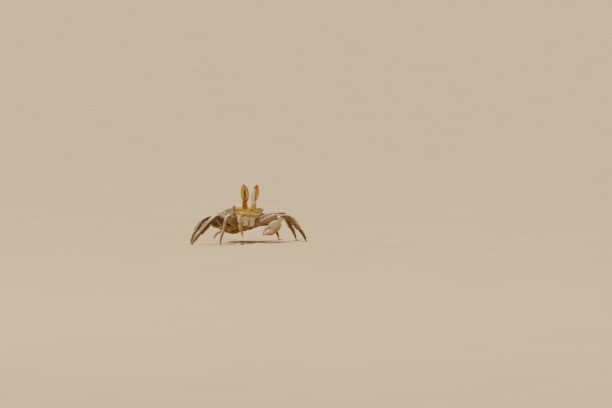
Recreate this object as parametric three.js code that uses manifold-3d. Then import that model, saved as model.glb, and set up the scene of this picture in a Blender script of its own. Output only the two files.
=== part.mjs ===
// A young ghost crab standing on the tips of its walking legs, with its eyes raised.
// Millimetres, +Z up. The crab faces -Y, so its right side is -X. The ground is z = 0.
import * as THREE from "three";
import { LoftGeometry } from "three/addons/geometries/LoftGeometry.js";
import { mergeVertices } from "three/addons/utils/BufferGeometryUtils.js";
import Module from "manifold-3d";

const wasm = await Module();
wasm.setup();

const degrees = (value) => THREE.MathUtils.degToRad(value);
const vector = (x, y, z) => new THREE.Vector3(x, y, z);

// Driving dimensions of the shell, and how the body is held. Body points are measured from the
// middle of the shell, x to the crab's left, y backward and z to its back.
const shellWidth = 23.1;
const shellLength = 19.8;
const shellTop = 5.0;
const marginHeight = 2.9;
const shellFloor = -4.9;
const bodySpot = [0, 0, 13.2];
// The middle of the ground that the crab covers, measured from below the body's middle.
const groundMiddle = [-2.047, 0.478];
const noseUp = degrees(17);
const leftDown = degrees(7);
// The gap between neighbouring pieces, and half of it between the pieces of a leg.
const seam = 0.2;
const legSeam = 0.28;

// Eyes: where the stalks stand on the body, how high they reach, how far they lean outward in
// degrees and forward for each millimetre of height, and their widths.
const eyeBase = { right: [-2.85, -9.75, 1.5], left: [3.25, -9.5, 1.5] };
const eyeTipHeight = { right: 32.0, left: 31.6 };
const eyeLean = { right: 9.5, left: 7 };
const eyeForward = 0.083;
const stalkRadius = 1.25;
const corneaRadius = 2.2;
const corneaLength = 10.2;

// Walking legs by row: where they leave the body, the lengths of merus with ischium, carpus,
// propodus and dactyl, and the half height of the merus.
const legRows = {
  1: { y: -4.4, lengths: [15.6, 5.4, 8.2, 7.8], breadth: 2.5 },
  2: { y: -1.1, lengths: [17.0, 6.0, 8.6, 8.4], breadth: 2.85 },
  3: { y: 2.2, lengths: [14.8, 5.2, 8.0, 7.6], breadth: 2.55 },
  4: { y: 5.2, lengths: [9.4, 4.0, 6.0, 5.8], breadth: 1.7 },
};
const legBase = [7.8, -5.7];
const tipRadius = 0.36;

// How each leg is held, in degrees: its turn forward of straight out at the merus and beyond the
// knee, and the slopes of carpus, propodus and dactyl. The merus takes the slope that puts the
// tip on the ground.
const legPoses = [
  { side: -1, row: 1, turn: 36, shank: 20, slopes: [-14, -58, -62] },
  { side: -1, row: 2, turn: 19, shank: -10, slopes: [-28, -42, -48] },
  { side: -1, row: 3, turn: 0, shank: 8, slopes: [-22, -42, -60] },
  { side: -1, row: 4, turn: -82, shank: -96, slopes: [-24, -50, -56] },
  { side: 1, row: 1, turn: 42, shank: 40, slopes: [-6, -52, -60] },
  { side: 1, row: 2, turn: 24, shank: -3, slopes: [-4, -54, -58] },
  { side: 1, row: 3, turn: 0, shank: -2, slopes: [-16, -52, -58] },
  { side: 1, row: 4, turn: -88, shank: -90, slopes: [0, -30, -45] },
];

// Claw arms: places of elbow, wrist and finger tips, the outward face of the hand, the half
// height and half thickness of the palm, the half height of the arm, the room that the wrist
// takes before the palm, and the palm's share of the hand.
const clawShoulder = [5.4, -7.6, -5.8];
const claws = {
  left: {
    side: 1, elbow: [14.6, -16.8, 14.0], wrist: [16.2, -18.8, 11.2], tips: [3.2, -17.2, 4.0],
    face: [-0.35, -0.9, 0.1], palm: [3.0, 1.6], arm: 1.75, heel: 1.65, palmShare: 0.56,
  },
  right: {
    side: -1, elbow: [-11.9, -14.1, 14.8], wrist: [-12.8, -14.8, 11.2], tips: [-8.4, -13.4, 3.2],
    face: [-0.8, 0.55, -0.3], palm: [1.5, 0.8], arm: 1.2, heel: 0.45, palmShare: 0.5,
  },
};

// Proportions of the leg pieces, as shares of the row's breadth.
const legForm = {
  merus: { root: 0.42, end: 0.58, thick: 0.36, keel: 0.3 },
  carpus: { root: 0.44, end: 0.55, thick: 0.3 },
  propodus: { root: 0.53, end: 0.43, thick: 0.27 },
  dactyl: { root: 0.4, thick: 0.6 },
};
const dactylBow = 0.5;

const shellColor = new THREE.Color(0.62, 0.56, 0.42);
const legColor = new THREE.Color(0.6, 0.48, 0.33);
const clawColor = new THREE.Color(0.8, 0.74, 0.62);
const bellyColor = new THREE.Color(0.55, 0.42, 0.28);
const stalkColor = new THREE.Color(0.78, 0.74, 0.55);
const corneaColor = new THREE.Color(0.72, 0.42, 0.06);
const mouthColor = new THREE.Color(0.68, 0.62, 0.5);

const crab = new THREE.Group();
crab.position.set(-groundMiddle[0], -groundMiddle[1], 0);
const trunk = new THREE.Group();
trunk.position.set(...bodySpot);
trunk.rotation.set(-noseUp, leftDown, 0, "YXZ");
trunk.updateMatrix();
crab.add(trunk);

function smooth(low, high, value) {
  const t = THREE.MathUtils.clamp((value - low) / (high - low), 0, 1);
  return t * t * (3 - 2 * t);
}

const bump = (value, center, width) => Math.exp(-(((value - center) / width) ** 2));
// 1 between the middle two numbers of the span, eased to 0 at its outer two.
const within = ([a, b, c, d], value) => smooth(a, b, value) - smooth(c, d, value);
const inWorld = (x, y, z) => vector(x, y, z).applyMatrix4(trunk.matrix);
const loft = (rings) => new LoftGeometry(rings, { closed: true, capStart: true, capEnd: true });

function addMesh(name, geometry, color, roughness, parent = crab) {
  const material = new THREE.MeshStandardMaterial({ color, roughness, metalness: 0 });
  const mesh = new THREE.Mesh(geometry, material);
  mesh.name = name;
  parent.add(mesh);
}

// The two directions square to a limb: "over" lies in its bending plane, "side" across it.
function crossAxes(along, plane) {
  const over = vector(0, 0, 0).crossVectors(plane, along).normalize();
  const side = vector(0, 0, 0).crossVectors(along, over).normalize();
  return { over, side };
}

// An oval ring; sharp > 0 draws its upper and lower edges to ridges.
function ovalRing(center, side, over, count, sharp = 0) {
  const ring = [];
  for (let i = 0; i < count; i += 1) {
    const angle = (i / count) * Math.PI * 2;
    const across = Math.cos(angle) * (1 - sharp * Math.sin(angle) ** 2);
    ring.push(center.clone().addScaledVector(side, across).addScaledVector(over, Math.sin(angle)));
  }
  return ring;
}

// Rounds the ends of a limb piece over the shares "near" and "far" of its length, down to the
// root of endShare. An end that keeps its full size takes noRound.
const endShare = 0.22;
const noRound = 1e-4;

function endRound(t, near, far) {
  const a = Math.max(0, 1 - t / near);
  const b = Math.max(0, 1 - (1 - t) / far);
  return Math.sqrt(Math.max(endShare, 1 - a * a)) * Math.sqrt(Math.max(endShare, 1 - b * b));
}

// A limb piece from start to end. height, width and lift are functions of the share t along it.
function limbPiece({ start, end, plane, height, width, lift, steps, count, sharp }) {
  const along = end.clone().sub(start).normalize();
  const { over, side } = crossAxes(along, plane);
  const rings = [];
  for (let i = 0; i <= steps; i += 1) {
    const t = i / steps;
    const center = start.clone().lerp(end, t);
    if (lift) center.addScaledVector(over, lift(t));
    const across = side.clone().multiplyScalar(width(t));
    rings.push(ovalRing(center, across, over.clone().multiplyScalar(height(t)), count, sharp));
  }
  return loft(rings.reverse());
}

function shortened(start, end, near, far) {
  const along = end.clone().sub(start).normalize();
  return {
    start: start.clone().addScaledVector(along, near),
    end: end.clone().addScaledVector(along, -far),
  };
}

// The shell ---------------------------------------------------------------------------------
// A rounded square seen from above, wider in front, with the front lobe, the two long eye
// notches and the pointed corners. q runs round the unit square.
const notchDepth = 0.2;
const notchSpan = [1.0, 2.0, 8.6, 10.2];
const lobe = { reach: 0.55, half: 1.6 };
const tooth = { out: 0.9, forward: 1.6, lift: 0.7, width: 0.09 };
const sideTaper = 0.09;
const rearTaper = 0.05;
const isFront = (q) => q.y === -1;

function shellOutline(q, { notch, square }) {
  const norm = (Math.abs(q.x) ** square + Math.abs(q.y) ** square) ** (1 / square);
  const unitY = q.y / norm;
  const taper = sideTaper * (unitY + 0.25) + rearTaper * Math.max(0, unitY);
  let x = (shellWidth / 2) * (q.x / norm) * (1 - taper);
  let y = (shellLength / 2) * unitY;
  if (isFront(q)) {
    y *= 1 - notchDepth * notch * within(notchSpan, Math.abs(x));
    y -= lobe.reach * notch * bump(x, 0, lobe.half);
  }
  const corner = notch * bump(Math.hypot(Math.abs(q.x) - 1, q.y + 1), 0, tooth.width);
  x += Math.sign(q.x) * tooth.out * corner;
  y -= tooth.forward * corner;
  return { x, y, lift: tooth.lift * corner };
}

// Points round the unit square, counter-clockwise from the front left corner.
function squarePoints(front, sides) {
  const points = [];
  for (let i = 0; i < sides; i += 1) points.push({ x: 1, y: -1 + (2 * i) / sides });
  for (let i = 0; i < sides; i += 1) points.push({ x: 1 - (2 * i) / sides, y: 1 });
  for (let i = 0; i < sides; i += 1) points.push({ x: -1, y: 1 - (2 * i) / sides });
  for (let i = 0; i < front; i += 1) points.push({ x: -1 + (2 * i) / front, y: -1 });
  return points;
}

// Levels from the walls' lower edge up over the margin to the middle of the back: the scale of
// the outline, the height, how square it is, how much of the notches it shows, how far the
// orbits and the mouth frame are sunk, and how far the front leans back.
const shellLevels = [
  { scale: 0.64, z: shellFloor, square: 3.0, notch: 0, orbit: 0, mouth: 0.8, front: -0.2 },
  { scale: 0.74, z: -3.8, square: 3.2, notch: 0, orbit: 0, mouth: 1, front: 0.1 },
  { scale: 0.85, z: -2.2, square: 3.5, notch: 0, orbit: 0, mouth: 1, front: 0.2 },
  { scale: 0.92, z: -1.0, square: 4.0, notch: 0, orbit: 0, mouth: 0.5, front: 0.1 },
  { scale: 0.955, z: -0.2, square: 4.5, notch: 0, orbit: 0, mouth: 0, front: 0 },
  { scale: 0.975, z: 0.5, square: 4.8, notch: 0.4, orbit: 0.75, mouth: 0, front: 0.2 },
  { scale: 0.985, z: 1.4, square: 5, notch: 0.8, orbit: 1, mouth: 0, front: 0.3 },
  { scale: 1.0, z: marginHeight - 0.5, square: 5, notch: 1, orbit: 0.1, mouth: 0, front: 0 },
  { scale: 0.97, z: marginHeight + 0.3, square: 5, notch: 1, orbit: 0, mouth: 0, front: 0 },
  { scale: 0.88, z: shellTop - 1.25, square: 5, notch: 0.8, orbit: 0, mouth: 0, front: 0 },
  { scale: 0.68, z: shellTop - 0.6, square: 5, notch: 0.35, orbit: 0, mouth: 0, front: 0 },
  { scale: 0.4, z: shellTop - 0.15, square: 5, notch: 0.05, orbit: 0, mouth: 0, front: 0 },
  { scale: 0.12, z: shellTop, square: 5, notch: 0, orbit: 0, mouth: 0, front: 0 },
];
const orbitDepth = 1.7;
const orbitSpan = [0.7, 1.7, 8.2, 9.8];
const mouthDepth = 1.7;
const mouthEdge = [4.0, 5.1];
const sideDrop = 0.5;

function shellRing(level) {
  return squarePoints(22, 10).map((q) => {
    const { x, y, lift } = shellOutline(q, level);
    const point = vector(x * level.scale, y * level.scale, level.z + lift);
    const across = Math.abs(point.x);
    if (isFront(q)) {
      const orbit = orbitDepth * level.orbit * within(orbitSpan, across);
      const mouth = mouthDepth * level.mouth * (1 - smooth(...mouthEdge, across));
      point.y += level.front + orbit + mouth;
    }
    if (level.z > marginHeight) {
      point.z -= sideDrop * level.scale ** 4 * (across / (shellWidth / 2)) ** 2;
    }
    return point;
  });
}

addMesh("carapace", loft(shellLevels.map(shellRing)), shellColor, 0.6, trunk);

// Under the shell: the breastplate with the leg sockets as bumps along its sides, and the
// abdomen folded round the rear and forward beneath it. --------------------------------------
const plateHalf = [5.4, 6.6];
const plateFloor = shellFloor - 2.3;
const socketHalf = 0.95;

function plateRing(scale, z, socketReach) {
  const ring = [];
  const count = 44;
  for (let i = 0; i < count; i += 1) {
    const angle = (i / count) * Math.PI * 2;
    const y = plateHalf[1] * Math.sin(angle);
    const sockets = Object.values(legRows).reduce((sum, row) => sum + bump(y, row.y, socketHalf), 0);
    const x = Math.cos(angle) * (plateHalf[0] + socketReach * Math.min(1, sockets));
    ring.push(vector(x * scale, y * scale, z));
  }
  return ring;
}

addMesh("sternum", loft([
  plateRing(0.8, plateFloor, 0.5),
  plateRing(0.98, shellFloor - 1.3, 1.2),
  plateRing(1.0, shellFloor - 0.7, 1.3),
  plateRing(0.86, shellFloor - seam, 0.6),
]), bellyColor, 0.6, trunk);

// Mid-line of the abdomen, as places behind and under the body, and its half widths.
const tailHalfThickness = 0.34;
const tailHeight = plateFloor - tailHalfThickness - 1.4 * seam;
const tailPath = new THREE.CatmullRomCurve3([
  vector(0, 10.0, 0.6), vector(0, 10.2, -1.6), vector(0, 9.4, -4.4), vector(0, 7.6, -6.4),
  vector(0, 4.4, tailHeight), vector(0, 0.6, tailHeight), vector(0, -2.6, tailHeight),
]);
const tailForm = { half: 3.3, narrowing: 0.42, tip: 0.12 };
const tailHalfWidth = (t) => tailForm.half * (1 - tailForm.narrowing * t)
  * Math.sqrt(Math.max(tailForm.tip, 1 - t ** 6));

function tailRings() {
  const rings = [];
  const steps = 12;
  for (let i = 0; i <= steps; i += 1) {
    const t = i / steps;
    const along = tailPath.getTangentAt(t);
    const { over, side } = crossAxes(along, vector(1, 0, 0));
    const thickness = over.multiplyScalar(tailHalfThickness);
    rings.push(ovalRing(tailPath.getPointAt(t), side.multiplyScalar(tailHalfWidth(t)), thickness, 12));
  }
  return rings.reverse();
}

addMesh("abdomen", loft(tailRings()), bellyColor, 0.6, trunk);

// Mouth: the two leaf shaped outer mouthparts, and the feelers above them. -------------------
const mouthparts = { x: 2.3, half: [2.12, 0.85], top: -1.7, bottom: -6.5, y: [-8.45, -7.5] };
const feeler = { base: [1.5, -10.2, -0.1], tip: [3.7, -11.1, 0.5], radius: 0.34 };

for (const side of [-1, 1]) {
  const word = side < 0 ? "right" : "left";
  addMesh(`maxilliped_${word}`, limbPiece({
    start: vector(side * mouthparts.x, mouthparts.y[1], mouthparts.bottom),
    end: vector(side * mouthparts.x, mouthparts.y[0], mouthparts.top),
    plane: vector(1, 0, 0), steps: 6, count: 12,
    height: (t) => mouthparts.half[1] * endRound(t, 0.3, 0.3),
    width: (t) => mouthparts.half[0] * endRound(t, 0.2, 0.25) * (1 - 0.12 * t),
  }), mouthColor, 0.6, trunk);
  addMesh(`antenna_${word}`, limbPiece({
    start: vector(side * feeler.base[0], feeler.base[1], feeler.base[2]),
    end: vector(side * feeler.tip[0], feeler.tip[1], feeler.tip[2]),
    plane: vector(1, 0, 0), steps: 4, count: 8,
    height: (t) => feeler.radius * (1 - 0.25 * t),
    width: (t) => feeler.radius * (1 - 0.25 * t),
  }), mouthColor, 0.6, trunk);
}

// Eyes ---------------------------------------------------------------------------------------
// The cornea is an egg round the stalk, open along its inner side, where the stalk shows.
function solidOf(geometry) {
  const bare = new THREE.BufferGeometry();
  bare.setAttribute("position", geometry.getAttribute("position"));
  bare.setIndex(geometry.index);
  const merged = mergeVertices(bare, 1e-4);
  return new wasm.Manifold(new wasm.Mesh({
    numProp: 3,
    vertProperties: new Float32Array(merged.getAttribute("position").array),
    triVerts: new Uint32Array(merged.index.array),
  }));
}

function geometryOf(solid) {
  const mesh = solid.getMesh();
  const geometry = new THREE.BufferGeometry();
  geometry.setAttribute("position", new THREE.BufferAttribute(mesh.vertProperties, 3));
  geometry.setIndex(new THREE.BufferAttribute(mesh.triVerts, 1));
  geometry.computeVertexNormals();
  return geometry;
}

const eyeShape = (t) => Math.sin(Math.PI * t ** 0.92) ** 0.62;
// How far the stalk stands proud of the egg along its inner side, and where it ends below the tip.
const stripProud = 0.9;
const stripEnd = 0.9;
const eyeSteps = 11;

function addEye(word, side) {
  const base = inWorld(...eyeBase[word]);
  const lean = side * Math.tan(degrees(eyeLean[word]));
  const rise = eyeTipHeight[word] - base.z;
  const tip = base.clone().add(vector(lean * rise, -eyeForward * rise, rise));
  const along = tip.clone().sub(base).normalize();
  const inward = vector(-side, 0, 0);
  const across = vector(0, 0, 0).crossVectors(inward, along).normalize();
  const length = tip.distanceTo(base);
  const start = 1 - corneaLength / length;
  // Radius of the egg at the share t of the whole eye, and the stalk along its inner side.
  const egg = (t) => corneaRadius * eyeShape(THREE.MathUtils.clamp((t - start) / (1 - start), 0, 1));
  const strip = (t, extra) => {
    const swell = stalkRadius * (1.38 - 0.25 * smooth(0.08, 0.26, t) - 0.08 * smooth(0.26, 0.45, t));
    return swell * Math.sqrt(Math.max(0.1, 1 - smooth(0.74, 0.9, t) ** 2)) + extra;
  };
  const ringAt = (t, radius, wide, offset, count) => {
    const center = base.clone().lerp(tip, t).addScaledVector(inward, offset);
    const sideways = across.clone().multiplyScalar(radius * wide);
    return ovalRing(center, sideways, inward.clone().multiplyScalar(radius), count);
  };
  const stripRings = (extra, last) => {
    const rings = [];
    for (let i = 0; i <= eyeSteps; i += 1) {
      const t = last * (i / eyeSteps);
      const proud = Math.max(0, egg(t) - strip(t, 0) + stripProud);
      rings.push(ringAt(t, strip(t, extra), 1, smooth(start - 0.12, start + 0.12, t) * proud, 10));
    }
    return rings;
  };
  const eggRings = [];
  for (let i = 0; i <= eyeSteps; i += 1) {
    const t = start + (1 - start) * (0.02 + 0.965 * (i / eyeSteps));
    eggRings.push(ringAt(t, egg(t), 0.95, 0, 16));
  }
  const cut = solidOf(loft(stripRings(seam * 0.6, stripEnd + 0.005)));
  addMesh(`eyestalk_${word}`, loft(stripRings(0, stripEnd)), stalkColor, 0.5);
  addMesh(`cornea_${word}`, geometryOf(solidOf(loft(eggRings)).subtract(cut)), corneaColor, 0.15);
}

addEye("right", -1);
addEye("left", 1);

// Claws --------------------------------------------------------------------------------------
// Shares of the palm's height: what is left of it in the fixed finger, at that finger's tip, and
// how far the finger drops below the middle and rises again. The movable finger lies above it.
const fixedFinger = { depth: 0.42, tip: 0.28, drop: 0.55, rise: 0.5 };
const freeFinger = { gap: 0.03, height: 0.36, thick: 0.62, above: 0.52, bow: 0.1, dip: 0.4 };

function addClaw(word, claw) {
  const [x, y, z] = clawShoulder;
  const shoulder = inWorld(claw.side * x, y, z);
  const elbow = vector(...claw.elbow);
  const wrist = vector(...claw.wrist);
  const tips = vector(...claw.tips);
  const plane = vector(...claw.face).normalize().negate();
  const armWay = elbow.clone().sub(shoulder);
  addMesh(`claw_${word}_arm`, limbPiece({
    ...shortened(shoulder, elbow, seam, 0.45), steps: 7, count: 12,
    plane: vector(0, 0, 1).cross(armWay).normalize(),
    height: (t) => claw.arm * endRound(t, 0.12, 0.14) * (0.6 + 0.4 * smooth(0.1, 0.6, t)),
    width: (t) => claw.arm * endRound(t, 0.12, 0.14) * (0.55 + 0.3 * smooth(0.1, 0.7, t)),
  }), clawColor, 0.5);
  addMesh(`claw_${word}_wrist`, limbPiece({
    ...shortened(elbow, wrist, 0.7, 0.25), plane, steps: 6, count: 12,
    height: (t) => claw.arm * 0.96 * endRound(t, 0.6, 0.5),
    width: (t) => claw.arm * 0.85 * endRound(t, 0.6, 0.5),
  }), clawColor, 0.5);
  addHand(word, claw, shortened(wrist, tips, claw.heel, 0), plane);
}

// The palm swells from the wrist; past its share of the hand only the lower, fixed finger goes
// on, and the movable finger is a piece of its own above it.
function addHand(word, { palm, palmShare }, hand, plane) {
  const [high, thick] = palm;
  const split = (t) => smooth(palmShare - 0.06, palmShare + 0.05, t);
  const taper = (t) => smooth(palmShare, 1, t);
  addMesh(`claw_${word}_hand`, limbPiece({
    ...hand, plane, steps: 12, count: 12,
    height: (t) => high * endRound(t, 0.4, noRound)
      * (1 - (1 - fixedFinger.depth) * split(t)) * (1 - (1 - fixedFinger.tip) * taper(t)),
    width: (t) => thick * endRound(t, 0.3, noRound) * (1 - 0.75 * smooth(palmShare - 0.1, 1, t)),
    lift: (t) => high * (fixedFinger.rise * taper(t) - fixedFinger.drop * split(t)),
  }), clawColor, 0.5);
  addMesh(`claw_${word}_finger`, limbPiece({
    start: hand.start.clone().lerp(hand.end, palmShare + freeFinger.gap), end: hand.end, plane,
    steps: 8, count: 10,
    height: (t) => high * freeFinger.height * endRound(t, 0.2, noRound) * (1 - 0.7 * t),
    width: (t) => thick * freeFinger.thick * endRound(t, 0.2, noRound) * (1 - 0.65 * t),
    lift: (t) => high * (freeFinger.above + freeFinger.bow * Math.sin(Math.PI * t)
      - freeFinger.dip * t ** 2),
  }), clawColor, 0.5);
}

Object.entries(claws).forEach(([word, claw]) => addClaw(word, claw));

// Walking legs -------------------------------------------------------------------------------
// The direction of a leg piece: turn in degrees forward of straight out, slope in radians.
function heading(side, turn, slope) {
  const level = vector(side * Math.cos(degrees(turn)), -Math.sin(degrees(turn)), 0);
  return level.multiplyScalar(Math.cos(slope)).setZ(Math.sin(slope));
}

// The joints of a leg from its socket to its tip.
function legJoints({ side, row, turn, shank, slopes }) {
  const { y, lengths } = legRows[row];
  const base = inWorld(side * legBase[0], y, legBase[1]);
  const drops = slopes.map((slope, i) => lengths[i + 1] * Math.sin(degrees(slope)));
  const rise = Math.asin((-drops.reduce((sum, drop) => sum + drop, 0) - base.z) / lengths[0]);
  const bends = [rise, ...slopes.map(degrees)];
  const turns = [turn, (turn + shank) / 2, shank, shank];
  const joints = [base];
  bends.forEach((bend, i) => {
    joints.push(joints[i].clone().addScaledVector(heading(side, turns[i], bend), lengths[i]));
  });
  return joints;
}

// The direction square to the upright plane through two joints.
function uprightPlane(from, to) {
  return vector(to.y - from.y, from.x - to.x, 0).normalize();
}

// The dactyl bows a little and ends in a level flat on the ground.
function dactylPiece(start, tip, plane, root) {
  const along = tip.clone().sub(start).normalize();
  const { over, side } = crossAxes(along, plane);
  const steps = 6;
  const rings = [];
  for (let i = 0; i < steps; i += 1) {
    const t = i / steps;
    const center = start.clone().lerp(tip, t).addScaledVector(over, dactylBow * Math.sin(Math.PI * t));
    const size = THREE.MathUtils.lerp(root, tipRadius, t) * endRound(t, 0.16, noRound);
    const across = side.clone().multiplyScalar(size * legForm.dactyl.thick);
    rings.push(ovalRing(center, across, over.clone().multiplyScalar(size), 8));
  }
  const flatOver = vector(over.x, over.y, 0).normalize();
  const flatSide = vector(0, 0, 0).crossVectors(vector(0, 0, -1), flatOver);
  rings.push(ovalRing(tip, flatSide.multiplyScalar(tipRadius), flatOver.multiplyScalar(tipRadius), 8));
  return loft(rings.reverse());
}

function addLeg(pose) {
  const joints = legJoints(pose);
  const { breadth } = legRows[pose.row];
  const name = `leg_${pose.side < 0 ? "right" : "left"}_${pose.row}`;
  const piece = (i) => ({
    ...shortened(joints[i], joints[i + 1], legSeam, legSeam),
    plane: uprightPlane(joints[i], joints[i + 1]),
  });
  const { merus, carpus, propodus, dactyl } = legForm;
  addMesh(`${name}_merus`, limbPiece({
    ...piece(0), steps: 7, count: 10, sharp: merus.keel,
    height: (t) => breadth * endRound(t, 0.1, 0.08)
      * (merus.root + (1 - merus.root) * smooth(0.2, 0.56, t) - (1 - merus.end) * smooth(0.62, 1, t)),
    width: (t) => breadth * merus.thick * endRound(t, 0.1, 0.08) * (1 - 0.15 * t),
  }), legColor, 0.55);
  addMesh(`${name}_carpus`, limbPiece({
    ...piece(1), steps: 5, count: 10,
    height: (t) => breadth * endRound(t, 0.3, 0.2) * THREE.MathUtils.lerp(carpus.root, carpus.end, t),
    width: (t) => breadth * carpus.thick * endRound(t, 0.3, 0.2),
  }), legColor, 0.55);
  addMesh(`${name}_propodus`, limbPiece({
    ...piece(2), steps: 5, count: 10,
    height: (t) => breadth * endRound(t, 0.18, 0.12) * THREE.MathUtils.lerp(propodus.root, propodus.end, t),
    width: (t) => breadth * propodus.thick * endRound(t, 0.18, 0.12),
  }), legColor, 0.55);
  const { start, plane } = piece(3);
  addMesh(`${name}_dactyl`, dactylPiece(start, joints[4], plane, breadth * dactyl.root), legColor, 0.55);
}

legPoses.forEach(addLeg);

export default crab;
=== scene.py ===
import bpy
import numpy as np
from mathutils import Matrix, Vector
from numpy import cos, pi, sin


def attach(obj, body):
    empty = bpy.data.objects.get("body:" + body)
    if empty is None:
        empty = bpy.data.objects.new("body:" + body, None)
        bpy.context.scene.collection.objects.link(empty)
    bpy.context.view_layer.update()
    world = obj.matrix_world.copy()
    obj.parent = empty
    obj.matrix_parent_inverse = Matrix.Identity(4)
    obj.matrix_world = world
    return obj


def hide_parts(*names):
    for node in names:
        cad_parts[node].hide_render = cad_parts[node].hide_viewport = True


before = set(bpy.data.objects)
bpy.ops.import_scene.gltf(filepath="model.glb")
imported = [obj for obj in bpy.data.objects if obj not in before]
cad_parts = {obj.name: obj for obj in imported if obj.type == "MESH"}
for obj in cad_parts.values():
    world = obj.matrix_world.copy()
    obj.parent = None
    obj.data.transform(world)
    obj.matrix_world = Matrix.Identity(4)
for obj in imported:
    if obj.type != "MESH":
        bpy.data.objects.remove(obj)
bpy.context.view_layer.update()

# All lengths are millimetres until addPiece turns them into metres. x points to the crab's left,
# y backward and z up, and the zero point lies on the ground below the middle of its body.
stance = {
    "bodySpot": (0.0, 0.0, 13.2),
    "noseUp": 17.0,
    "leftDown": 7.0,
    "groundMiddle": (-2.047, 0.478, 0.0),
}
millimetre = 0.001


# Numbers.
# An eased step from 0 at low to 1 at high.
def smooth(low, high, value):
    t = np.clip((value - low) / (high - low), 0, 1)
    return t * t * (3 - 2 * t)


# 1 between the middle two numbers of the span, eased to 0 at its outer two.
def within(span, value):
    return smooth(span[0], span[1], value) - smooth(span[2], span[3], value)


# A bell round the centre: exp of minus the squared distance in widths.
def bump(value, centre, width):
    return np.exp(-((value - centre) / width) ** 2)


def unit(vectors):
    return vectors / np.linalg.norm(vectors, axis=-1, keepdims=True)


# Eased random values between -1 and 1, one for each corner of a lattice of the given size.
def cloud(points, size, seed):
    side = 24
    lattice = np.random.default_rng(seed).uniform(-1, 1, (side, side, side))
    cell = np.floor(points / size).astype(int)
    part = points / size - cell
    part = part * part * (3 - 2 * part)
    total = np.zeros(points.shape[:-1])
    for corner in np.ndindex(2, 2, 2):
        share = np.where(corner, part, 1 - part).prod(axis=-1)
        spot = (cell + corner) % side
        total += share * lattice[spot[..., 0], spot[..., 1], spot[..., 2]]
    return total


# Round domes, 1 at the middle and 0 at their edge, one in each cell of a shaken lattice.
def domes(points, size, seed, reach):
    side = 16
    shaken = np.random.default_rng(seed).uniform(0.2, 0.8, (side, side, side, 3))
    cell = np.floor(points / size).astype(int)
    nearest = np.full(points.shape[:-1], 9.0)
    for corner in np.ndindex(3, 3, 3):
        spot = cell + corner - 1
        wrapped = spot % side
        middle = spot + shaken[wrapped[..., 0], wrapped[..., 1], wrapped[..., 2]]
        nearest = np.minimum(nearest, np.linalg.norm(points / size - middle, axis=-1))
    return np.clip(1 - (nearest / reach) ** 2, 0, 1) ** 1.5


# A smooth curve through the rows of keys, read at the places s counted in rows.
def through(keys, s):
    keys = np.asarray(keys, float)
    padded = np.concatenate([keys[:1] * 2 - keys[1:2], keys, keys[-1:] * 2 - keys[-2:-1]])
    i = np.clip(np.floor(s).astype(int), 0, len(keys) - 2)
    f = (s - i).reshape(-1, *([1] * (keys.ndim - 1)))
    a, b, c, d = (padded[i + k] for k in range(4))
    squared, cubed = 2 * a - 5 * b + 4 * c - d, 3 * b - a - 3 * c + d
    return 0.5 * (2 * b + (c - a) * f + squared * f**2 + cubed * f**3)


# Surfaces.
# The skin of a tube: each row of the grid is a closed ring, anticlockwise about the path, joined
# to the next by four-cornered faces, and a fan of triangles closes each end at its middle.
def tube(grid, marks, ends=None):
    rows, cols = grid.shape[:2]
    here = np.arange(rows * cols).reshape(rows, cols)
    after = np.roll(here, -1, axis=1)
    quads = np.stack([here[:-1], after[:-1], after[1:], here[1:]], axis=-1).reshape(-1, 4)
    first, last = rows * cols, rows * cols + 1
    fans = np.concatenate([
        np.stack([np.full(cols, first), after[0], here[0]], axis=-1),
        np.stack([np.full(cols, last), here[-1], after[-1]], axis=-1),
    ])
    middles = grid[[0, -1]].mean(axis=1) if ends is None else np.asarray(ends)
    values = {}
    for name, mark in marks.items():
        mark = np.broadcast_to(mark, (rows, cols))
        values[name] = np.concatenate([mark.reshape(-1), mark[[0, -1]].mean(axis=1)])
    return {"points": np.concatenate([grid.reshape(-1, 3), middles]), "quads": quads, "tris": fans,
            "marks": values}


# Several surfaces as one, with 0 for a mark that one of them lacks.
def joined(surfaces):
    names = sorted({name for surface in surfaces for name in surface["marks"]})
    starts = np.cumsum([0] + [len(surface["points"]) for surface in surfaces])
    marks = {name: np.concatenate([s["marks"].get(name, np.zeros(len(s["points"]))) for s in surfaces])
             for name in names}
    return {
        "points": np.concatenate([s["points"] for s in surfaces]),
        "quads": np.concatenate([s["quads"] + k for s, k in zip(surfaces, starts)]),
        "tris": np.concatenate([s["tris"] + k for s, k in zip(surfaces, starts)]),
        "marks": marks,
    }


def newObject(name, data):
    made = bpy.data.objects.new(name, data)
    bpy.context.scene.collection.objects.link(made)
    return made


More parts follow.
